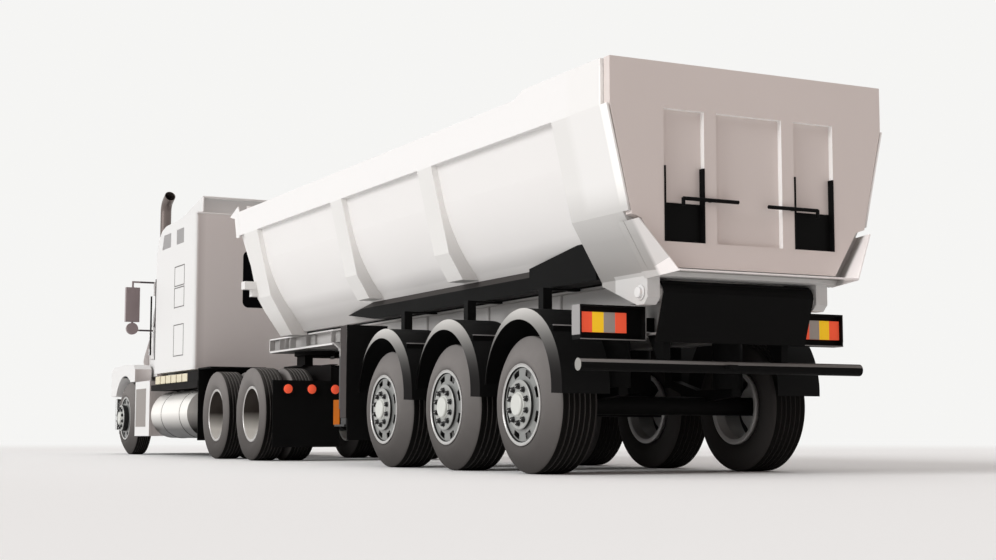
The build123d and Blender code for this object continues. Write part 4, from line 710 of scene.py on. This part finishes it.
def wheel_trim(name, body, side, y, outer, reach):
    """Bright lip, pierced disc, raised flange, nuts in their dark covers, and hub cap of one single wheel."""
    lip = outer - LIP_INSET
    face = outer - FACE_INSET
    flange = lip + reach
    ring = turned(Piece(), side, y, lip, LIP, RIM_SEGMENTS)
    wall = ((face - SUNK, 0.0), (face - SUNK, FLANGE_R[0]), (flange - FLANGE_EDGE, FLANGE_R[1]),
            (flange, FLANGE_R[0]), (flange, 0.0))
    hub = turned(Piece(), side, y, 0.0, wall, FLANGE_SEGMENTS, closed=False)
    covers, studs = Piece(), Piece()
    for k in range(STUDS):
        angle = 2 * pi * (k + 0.5) / STUDS
        centre = (y + STUD_CIRCLE * cos(angle), AXLE_Z + STUD_CIRCLE * sin(angle))
        section = [(side * (flange + x), r) for x, r in NUT_COVER]
        covers.lathe("x", centre, section, NUT_SEGMENTS, closed=False)
        # bright stud ends at the covers' tips stand as painted highlights on the dark nut covers
        studs.rod("x", centre, STUD_R, [side * (flange + x) for x in STUD_REACH], STUD_SEGMENTS)
    turned(covers, side, y, lip, DISC_SEAM, RIM_SEGMENTS)
    cap = turned(Piece(), side, y, flange, HUB_CAP, CAP_SEGMENTS, closed=False)
    disc = disc_plate(side, y, lip - DISC_INSET)
    disc.make(f"wheel_disc.{name}", M["hub_disc"], body, bevel=0.003, slot=ALLOY)
    for part, kind, look in ((ring, "rim_lip", "bright"), (hub, "hub_flange", "hub"),
                             (covers, "nut_covers", "cup"), (studs, "stud_ends", "bright"),
                             (cap, "hub_cap", "cap")):
        part.make(f"{kind}.{name}", M[look], body, slot=ALLOY)


STEER_REACH = 0.075
TRAILER_REACH = 0.024

for name, side in SIDES.items():
    body = f"wheel_steer_{name}"
    tyres(f"tyre.steer.{name}", f"tyre_steer_{name}", body, side, STEER_Y, [STEER_TYRE], "single")
    wheel_trim(f"steer.{name}", body, side, STEER_Y, STEER_TYRE[1], STEER_REACH)
    for row, y in TRAILER.items():
        body = f"wheel_trailer_{row}_{name}"
        tyres(f"tyre.trailer.{row}.{name}", f"tyre_trailer_{row}_{name}", body, side, y, [TRAILER_TYRE],
              "single")
        wheel_trim(f"trailer.{row}.{name}", body, side, y, TRAILER_TYRE[1], TRAILER_REACH)
        edge = turned(Piece(), side, y, TRAILER_TYRE[0], INNER_EDGE, RIM_SEGMENTS)
        edge.make(f"rim_inner_edge.trailer.{row}.{name}", M["bright"], body, slot=ALLOY)
    for row, y in DRIVE.items():
        body = f"wheels_drive_{row}_{name}"
        tyres(f"tyres.drive.{row}.{name}", f"tyres_drive_{row}_{name}", body, side, y, DRIVE_TYRES, "twin")
        ring = turned(Piece(), side, y, 0.0, DRIVE_LIP, RIM_SEGMENTS)
        ring.make(f"rim_lip.drive.{row}.{name}", M["bright"], body, slot=ALLOY)

# ---------------------------------------------------------------- tractor

# outlines of the sleeper's side hatches, and its slatted side windows: y from, y to, z from, z to
HATCHES = ((-3.98, -3.50, 1.98, 2.252), (-3.98, -3.50, 2.268, 2.54), (-3.98, -3.50, 1.33, 1.755))
HATCH_LINE = 0.012
HATCH_X = (1.145, 1.1525)
WINDOWS = ((-4.62, -4.20, 2.835, 3.03), (-3.91, -3.56, 2.835, 3.035))
WINDOW_X = (1.137, 1.141)
SLAT_X = (1.137, 1.149)
SLATS = 9
SLAT_GAP = 0.2
WINDOW_FRAME = 0.03
SLAT_DROP = 0.002


def sleeper_hatches():
    lines = Piece()
    w = HATCH_LINE
    for y0, y1, z0, z1 in HATCHES:
        for y, z in (((y0, y1), (z0, z0 + w)), ((y0, y1), (z1 - w, z1)),
                     ((y0, y0 + w), (z0, z1)), ((y1 - w, y1), (z0, z1))):
            lines.pair(HATCH_X, y, z)
    lines.make("sleeper_hatches", M["line"], "tractor")


def window_slats():
    louvres = Piece()
    for y0, y1, z0, z1 in WINDOWS:
        pitch = (y1 - y0) / SLATS
        louvres.pair(WINDOW_X, (y0 + WINDOW_FRAME, y1), (z0, z1))
        for i in range(SLATS):
            slat = (y0 + i * pitch + pitch * SLAT_GAP, y0 + (i + 1) * pitch)
            louvres.pair(SLAT_X, slat, (z0, z1 - SLAT_DROP))
    louvres.make("window_slats", M["louvre"], "tractor", bevel=0.002)


BLOCKS = 6
BLOCK_START = -4.70
BLOCK_PITCH = 0.268
BLOCK_LENGTH = 0.225
BLOCK_X = (1.09, 1.195)
BLOCK_Z = (0.975, 1.082)
# boxes are spans of x, y and z, here and below
BOARD_BOXES = (((0.80, 1.195), (-3.10, -2.63), (0.97, 1.105)), ((0.80, 1.09), (-4.72, -3.10), (0.97, 1.06)))


def running_boards():
    """Blocks along the running board, and the boxes behind them."""
    steps, boards = Piece(), Piece()
    for i in range(BLOCKS):
        start = BLOCK_START + i * BLOCK_PITCH
        steps.pair(BLOCK_X, (start, start + BLOCK_LENGTH), BLOCK_Z)
    for spans in BOARD_BOXES:
        boards.pair(*spans)
    steps.make("board_blocks", M["beige"], "tractor", bevel=0.006)
    boards.make("board_boxes", M["satin"], "tractor", bevel=0.004)


FLAP_LAMP_X = (0.39, 0.67, 0.95)
FLAP_LAMP_Z = 0.803
LAMP_SEGMENTS = 32
# sections turned about a lamp's own axis: y, radius
LENS_SECTION = ((0.080, 0), (0.080, 0.052), (0.094, 0.052), (0.101, 0.040), (0.104, 0.0))
BEZEL_SECTION = ((0.080, 0.050), (0.080, 0.062), (0.092, 0.062), (0.094, 0.052))


def flap_lamps():
    lamps, bezels = Piece(), Piece()
    for side in SIDES.values():
        for x in FLAP_LAMP_X:
            lamps.lathe("y", (side * x, FLAP_LAMP_Z), LENS_SECTION, LAMP_SEGMENTS, closed=False)
            bezels.lathe("y", (side * x, FLAP_LAMP_Z), BEZEL_SECTION, LAMP_SEGMENTS)
    lamps.make("flap_lamps", M["red"], "tractor")
    bezels.make("flap_lamp_rims", M["flap"], "tractor")


TANK_CENTRE = (0.88, 0.565)
STRAP_Y = (-4.38, -3.48)
STRAP_HALF = 0.033
STRAP_EDGE = 0.003
STRAP_R = (0.318, 0.3225)
STRAP_SEGMENTS = 64


def tank_straps():
    """The two edges of each strap round the fuel tanks."""
    edges = Piece()
    inner, outer = STRAP_R
    for side in SIDES.values():
        for y in STRAP_Y:
            for edge in (y - STRAP_HALF, y + STRAP_HALF):
                low, high = edge - STRAP_EDGE, edge + STRAP_EDGE
                section = [(low, inner), (low, outer), (high, outer), (high, inner)]
                edges.lathe("y", (side * TANK_CENTRE[0], TANK_CENTRE[1]), section, STRAP_SEGMENTS)
    edges.make("tank_strap_edges", M["line"], "tractor")


CORNER_SEAL = ((1.10, 1.155), (-4.955, -4.932), (1.33, 2.46))
DOOR_SEAL_X = (0.957, 0.972)
DOOR_SEAL_Y = (-5.925, -5.885)
DOOR_SEAL_Z = (1.44, 2.30)


def corner_seals():
    """Seals down the sleeper's front corners and down the doors' front edges."""
    Piece().pair(*CORNER_SEAL).make("corner_seals", M["seal"], "tractor")
    for name, side in SIDES.items():
        seal = Piece().box([side * x for x in DOOR_SEAL_X], DOOR_SEAL_Y, DOOR_SEAL_Z)
        seal.make(f"door_front_seal.{name}", M["seal"], f"door_{name}")


# outline of the hood's flank beside the windscreen: x, z
HOOD_FLANK = ((0.86, 1.290), (0.990, 1.305), (1.000, 1.350), (0.985, 1.440), (0.955, 1.550), (0.915, 1.690),
              (0.86, 1.735))
FLANK_BACK_Y = -6.150
FLANK_NOSE_Y = -6.980
FLANK_NOSE_X = 0.70
FLANK_SHRINK = (0.45, 0.72)


def hood_flanks():
    """The hood's flanks swell beside the windscreen and die away towards the nose."""
    flanks = Piece()
    x0, z0 = HOOD_FLANK[0]
    narrow, flat = FLANK_SHRINK
    for side in SIDES.values():
        back = [(side * x, FLANK_BACK_Y, z) for x, z in HOOD_FLANK]
        nose = [(side * (FLANK_NOSE_X + (x - x0) * narrow), FLANK_NOSE_Y, z0 + (z - z0) * flat)
                for x, z in HOOD_FLANK]
        flanks.loft(back, nose)
    flanks.make("hood_flanks", M["white"], "hood", smooth=50)


# outline of the bumper's turned end, seen from above: x, y
BUMPER_END = ((0.96, -7.520), (1.075, -7.430), (1.115, -7.330), (1.115, -7.230), (1.095, -7.230),
              (1.060, -7.400), (0.96, -7.480))
BUMPER_Z = (0.36, 0.83)


def bumper_ends():
    ends = Piece()
    for side in SIDES.values():
        ends.prism("z", [(side * x, y) for x, y in BUMPER_END], BUMPER_Z)
    ends.make("bumper_ends", M["chrome"], "tractor", bevel=0.003)


# rounded edges round the deflector's and the sleeper's backs: y, radius, then x and z of one side's path
DEFLECTOR_EDGE = (-3.238, 0.016, ((0.990, 3.185), (0.990, 3.400), (0.970, 3.408)))
SLEEPER_EDGE = (-3.042, 0.015, ((1.130, 3.150), (1.115, 3.166)))
EDGE_SEGMENTS = 10


def roof_rims():
    rims = Piece()
    for y, radius, path in (DEFLECTOR_EDGE, SLEEPER_EDGE):
        left = [(x, y, z) for x, z in path]
        right = [(-x, y, z) for x, z in reversed(path)]
        rims.tube(left + right, radius, EDGE_SEGMENTS)
    rims.make("roof_rims", M["edge"], "tractor", smooth=60)


# painted shade: a plate over each step box's recess
STEP_PANEL = ((1.199, 1.203), (-5.730, -5.180), (0.400, 0.935))


def step_panels():
    """Painted shade: a grey-brown plate over each step box's recess."""
    Piece().pair(*STEP_PANEL).make("step_panels", M["panel"], "tractor", bevel=0.001)


# ---------------------------------------------------------------- trailer

LENS_X = (0.785, 1.172)
LENS_Y = (7.0095, 7.018)
LENS_Z = (1.040, 1.187)
LENSES = ("red", "lens_grey", "amber", "red")
LAMP_BOX_SIDE = ((1.190, 1.1925), (6.926, 7.043), (1.02, 1.238))
LAMP_BOX_EDGES = (((0.630, 0.637), (7.0405, 7.0455), (0.986, 1.238)),
                  ((0.630, 1.190), (7.0405, 7.0455), (0.986, 0.993)))


def rear_lamps():
    """Four lenses in each lamp box, from the middle outward, and the pale edges of the boxes."""
    width = (LENS_X[1] - LENS_X[0]) / len(LENSES)
    for name, side in SIDES.items():
        for index, colour in enumerate(LENSES):
            x = LENS_X[0] + index * width
            lens = Piece().box((side * x, side * (x + width)), LENS_Y, LENS_Z)
            lens.make(f"lamp_lens.{index}.{name}", M[colour], "trailer", slot="red_lens")
    Piece().pair(*LAMP_BOX_SIDE).make("lamp_box_sides", M["grey"], "trailer")
    edges = Piece()
    for spans in LAMP_BOX_EDGES:
        edges.pair(*spans)
    edges.make("lamp_box_edges", M["beam"], "trailer")


# hatched plates behind the stiffeners of the neck's web: y from, y to
NECK_PLATES = ((-1.513, -1.359), (-1.015, -0.868), (-0.280, -0.123), (0.534, 0.660))
NECK_PLATE_X = (0.532, 0.552)
NECK_LINE_X = (0.552, 0.560)
NECK_Z = (1.312, 1.430)
NECK_LINES = 8
LINE_SHARE = 0.6
FLANGE_X = (0.598, 0.603)
# bright edges of the neck's flanges: spans of y and z
FLANGE_EDGES = (((-1.602, 0.56), (1.437, 1.451)), ((-1.602, 0.54), (1.284, 1.300)),
                ((-1.604, -1.588), (1.284, 1.451)))


def neck():
    """Hatched plates of the neck's web and bright edges of its flanges."""
    hatches = Piece()
    low, high = NECK_Z
    pitch = (high - low) / NECK_LINES
    for span in NECK_PLATES:
        hatches.pair(NECK_PLATE_X, span, NECK_Z)
        for i in range(NECK_LINES):
            hatches.pair(NECK_LINE_X, span, (low + i * pitch, low + (i + LINE_SHARE) * pitch))
    hatches.make("neck_hatches", M["hatch"], "trailer")
    edges = Piece()
    for y, z in FLANGE_EDGES:
        edges.pair(FLANGE_X, y, z)
    edges.make("neck_edges", M["edge"], "trailer")


# brackets of the guards and painted highlights along their edges: span behind the axle, span of z
ARM_X = (0.93, 1.16)
ARM = ((0.405, 0.465), (1.045, 1.120))
ARM_EDGE = ((0.464, 0.468), (1.112, 1.121))


def guard_arms():
    """Brackets that clamp the guards' rear halves, with painted highlights along their edges."""
    arms, edges = Piece(), Piece()
    for axle in TRAILER.values():
        for piece, (behind, z) in ((arms, ARM), (edges, ARM_EDGE)):
            piece.pair(ARM_X, [axle + y for y in behind], z)
    arms.make("guard_arms", M["black"], "trailer", bevel=0.004)
    edges.make("guard_arm_highlights", M["grey"], "trailer")


SPLASH_EDGE = ((1.200, 1.203), (2.342, 2.498), (0.46, 1.363))
LEG_REFLECTOR = ((0.800, 0.806), (1.125, 1.300), (0.400, 0.660))


def trailer_plates():
    """Edge plates of the splash panels, and reflectors near the landing legs."""
    Piece().pair(*SPLASH_EDGE).make("splash_edges", M["deck"], "trailer", bevel=0.002)
    Piece().pair(*LEG_REFLECTOR).make("leg_reflectors", M["marker"], "trailer", bevel=0.001)


# outline of the plate at the rail's front end: y, z
RAIL_PLATE = ((-1.246, 2.874), (-0.949, 2.968), (-0.905, 2.900), (-0.890, 2.592), (-0.984, 2.600),
              (-1.060, 2.835))
RAIL_PLATE_X = (1.224, 1.2385)
TIP_PIVOT = (7.250, 1.320)
# heads of the tipping pivot's pins: radius, x from, x to
PIN_HEADS = ((0.040, 0.812, 0.838), (0.056, 0.806, 0.816))
PIN_SEGMENTS = 24


def body_fittings():
    """Plates at the rails' front ends, and the heads of the tipping pivot's pins."""
    pins = Piece()
    for name, side in SIDES.items():
        plate = Piece().prism("x", RAIL_PLATE, [side * x for x in RAIL_PLATE_X])
        plate.make(f"rail_front_plate.{name}", M["body_white"], "tipping", bevel=0.002)
        for radius, low, high in PIN_HEADS:
            pins.rod("x", TIP_PIVOT, radius, (side * low, side * high), PIN_SEGMENTS)
    pins.make("tip_pin_heads", M["white"], "trailer")


for build in (sleeper_hatches, window_slats, running_boards, flap_lamps, tank_straps, corner_seals,
              hood_flanks, bumper_ends, roof_rims, step_panels, rear_lamps, neck, guard_arms,
              trailer_plates, body_fittings):
    build()

# ---------------------------------------------------------------- stage

FLOOR_HALF = 400.0
FLOOR_DROP = 0.001
FLOOR_FADE = (11, 30)
BACKDROP = (0.915, 0.913, 0.900, 1)
FILL_STRENGTH = 1.0
SIDE_FILL = (0.36, 0.345, 0.335)
REAR_FILL = (0.25, 0.155, 0.125)
WALL_FILL = (0.52, 0.52, 0.51)
TOP_FILL = (0.80, 0.77, 0.755)
# the part of the direction over which one fill turns into the next
REAR_SPAN = (-0.2, 0.75)
WALL_SPAN = (0.35, 0.85)
TOP_SPAN = (0.35, 0.95)
SUN_ENERGY = 1.86
SUN_ANGLE = 0.5
SUN_WAY = (-1.0, -0.10, -0.50)


def lay_floor():
    """A plain pale floor, which melts into the backdrop far from the vehicle."""
    r = FLOOR_HALF
    mesh = bpy.data.meshes.new("floor")
    mesh.from_pydata([(-r, -r, 0), (r, -r, 0), (r, r, 0), (-r, r, 0)], [], [(0, 1, 2, 3)])
    obj = bpy.data.objects.new("floor", mesh)
    bpy.context.scene.collection.objects.link(obj)
    obj.location.z = -FLOOR_DROP
    look = Look("floor_paint", (0.93, 0.935, 0.935), 0.8, vary=0.01, scale=0.2, Specular_IOR_Level=0.05)
    reach = look.tree.nodes.new("ShaderNodeVectorMath")
    reach.operation = "LENGTH"
    look.link(look.coord.outputs["Object"], reach.inputs[0])
    fade = look.tree.nodes.new("ShaderNodeMapRange")
    fade.interpolation_type = "SMOOTHSTEP"
    fade.inputs["From Min"].default_value, fade.inputs["From Max"].default_value = FLOOR_FADE
    look.link(reach.outputs["Value"], fade.inputs["Value"])
    backdrop = look.tree.nodes.new("ShaderNodeEmission")
    backdrop.inputs["Color"].default_value = BACKDROP
    blend = look.tree.nodes.new("ShaderNodeMixShader")
    look.link(fade.outputs["Result"], blend.inputs[0])
    look.link(look.bsdf.outputs["BSDF"], blend.inputs[1])
    look.link(backdrop.outputs["Emission"], blend.inputs[2])
    look.link(blend.outputs["Shader"], look.tree.nodes["Material Output"].inputs["Surface"])
    mesh.materials.append(look.mat)


class Studio:
    """The world's light: fills that differ by direction, behind a plain backdrop."""

    def __init__(self):
        world = bpy.data.worlds.new("studio")
        bpy.context.scene.world = world
        world.use_nodes = True
        self.tree = world.node_tree
        direction = self.node("ShaderNodeTexCoord")
        self.way = self.node("ShaderNodeSeparateXYZ")
        self.link(direction.outputs["Generated"], self.way.inputs["Vector"])

    def node(self, kind, **values):
        node = self.tree.nodes.new(kind)
        for key, value in values.items():
            setattr(node, key, value)
        return node

    def link(self, a, b):
        self.tree.links.new(a, b)

    def blend(self, component, reach, first, second):
        """Blends two colours along one component of the direction."""
        span = self.node("ShaderNodeMapRange", interpolation_type="SMOOTHSTEP")
        span.inputs["From Min"].default_value, span.inputs["From Max"].default_value = reach
        self.link(self.way.outputs[component], span.inputs["Value"])
        node = self.node("ShaderNodeMix", data_type="RGBA")
        self.link(span.outputs["Result"], node.inputs["Factor"])
        for socket, value in ((node.inputs["A"], first), (node.inputs["B"], second)):
            if isinstance(value, tuple):
                socket.default_value = (*value, 1)
            else:
                self.link(value, socket)
        return node.outputs["Result"]

    def either(self, first, second):
        node = self.node("ShaderNodeMath", operation="ADD", use_clamp=True)
        self.link(first, node.inputs[0])
        self.link(second, node.inputs[1])
        return node.outputs[0]

    def light(self):
        """A bright wall on the vehicle's left and a dim warm one behind it; the camera sees the backdrop."""
        behind = self.blend("Y", REAR_SPAN, SIDE_FILL, REAR_FILL)
        walls = self.blend("X", WALL_SPAN, behind, WALL_FILL)
        fill = self.tree.nodes["Background"]
        fill.inputs["Strength"].default_value = FILL_STRENGTH
        self.link(self.blend("Z", TOP_SPAN, walls, TOP_FILL), fill.inputs["Color"])
        seen = self.node("ShaderNodeBackground")
        seen.inputs["Color"].default_value = BACKDROP
        rays = self.node("ShaderNodeLightPath").outputs
        direct = self.either(rays["Is Camera Ray"], rays["Is Glossy Ray"])
        shown = self.either(direct, rays["Is Transmission Ray"])
        mixer = self.node("ShaderNodeMixShader")
        self.link(shown, mixer.inputs[0])
        self.link(fill.outputs[0], mixer.inputs[1])
        self.link(seen.outputs[0], mixer.inputs[2])
        self.link(mixer.outputs[0], self.tree.nodes["World Output"].inputs["Surface"])


def hang_sun():
    sun = bpy.data.lights.new("key", "SUN")
    sun.energy = SUN_ENERGY
    sun.angle = SUN_ANGLE
    obj = bpy.data.objects.new("key", sun)
    bpy.context.scene.collection.objects.link(obj)
    obj.rotation_euler = Vector(SUN_WAY).to_track_quat("-Z", "Y").to_euler()


lay_floor()
Studio().light()
hang_sun()

# ---------------------------------------------------------------- camera

YAW, PITCH = 0.4694, 0.0967
CAMERA_PLACE = (6.8252, 16.8494, 0.315)
FOCAL_PX, WIDTH_PX, SENSOR = 1575.04, 996, 36.0
CLIP = (0.1, 2000)


def place_camera():
    camera = bpy.data.cameras.new("camera")
    camera.sensor_width = SENSOR
    camera.lens = FOCAL_PX * SENSOR / WIDTH_PX
    camera.clip_start, camera.clip_end = CLIP
    obj = bpy.data.objects.new("camera", camera)
    bpy.context.scene.collection.objects.link(obj)
    ahead = Vector((-sin(YAW) * cos(PITCH), -cos(YAW) * cos(PITCH), sin(PITCH)))
    across = ahead.cross(Vector((0, 0, 1))).normalized()
    above = across.cross(ahead)
    turn = Matrix((across, above, -ahead)).transposed().to_4x4()
    obj.matrix_world = Matrix.Translation(CAMERA_PLACE) @ turn
    bpy.context.scene.camera = obj


place_camera()
bpy.context.scene.view_settings.view_transform = "Standard"
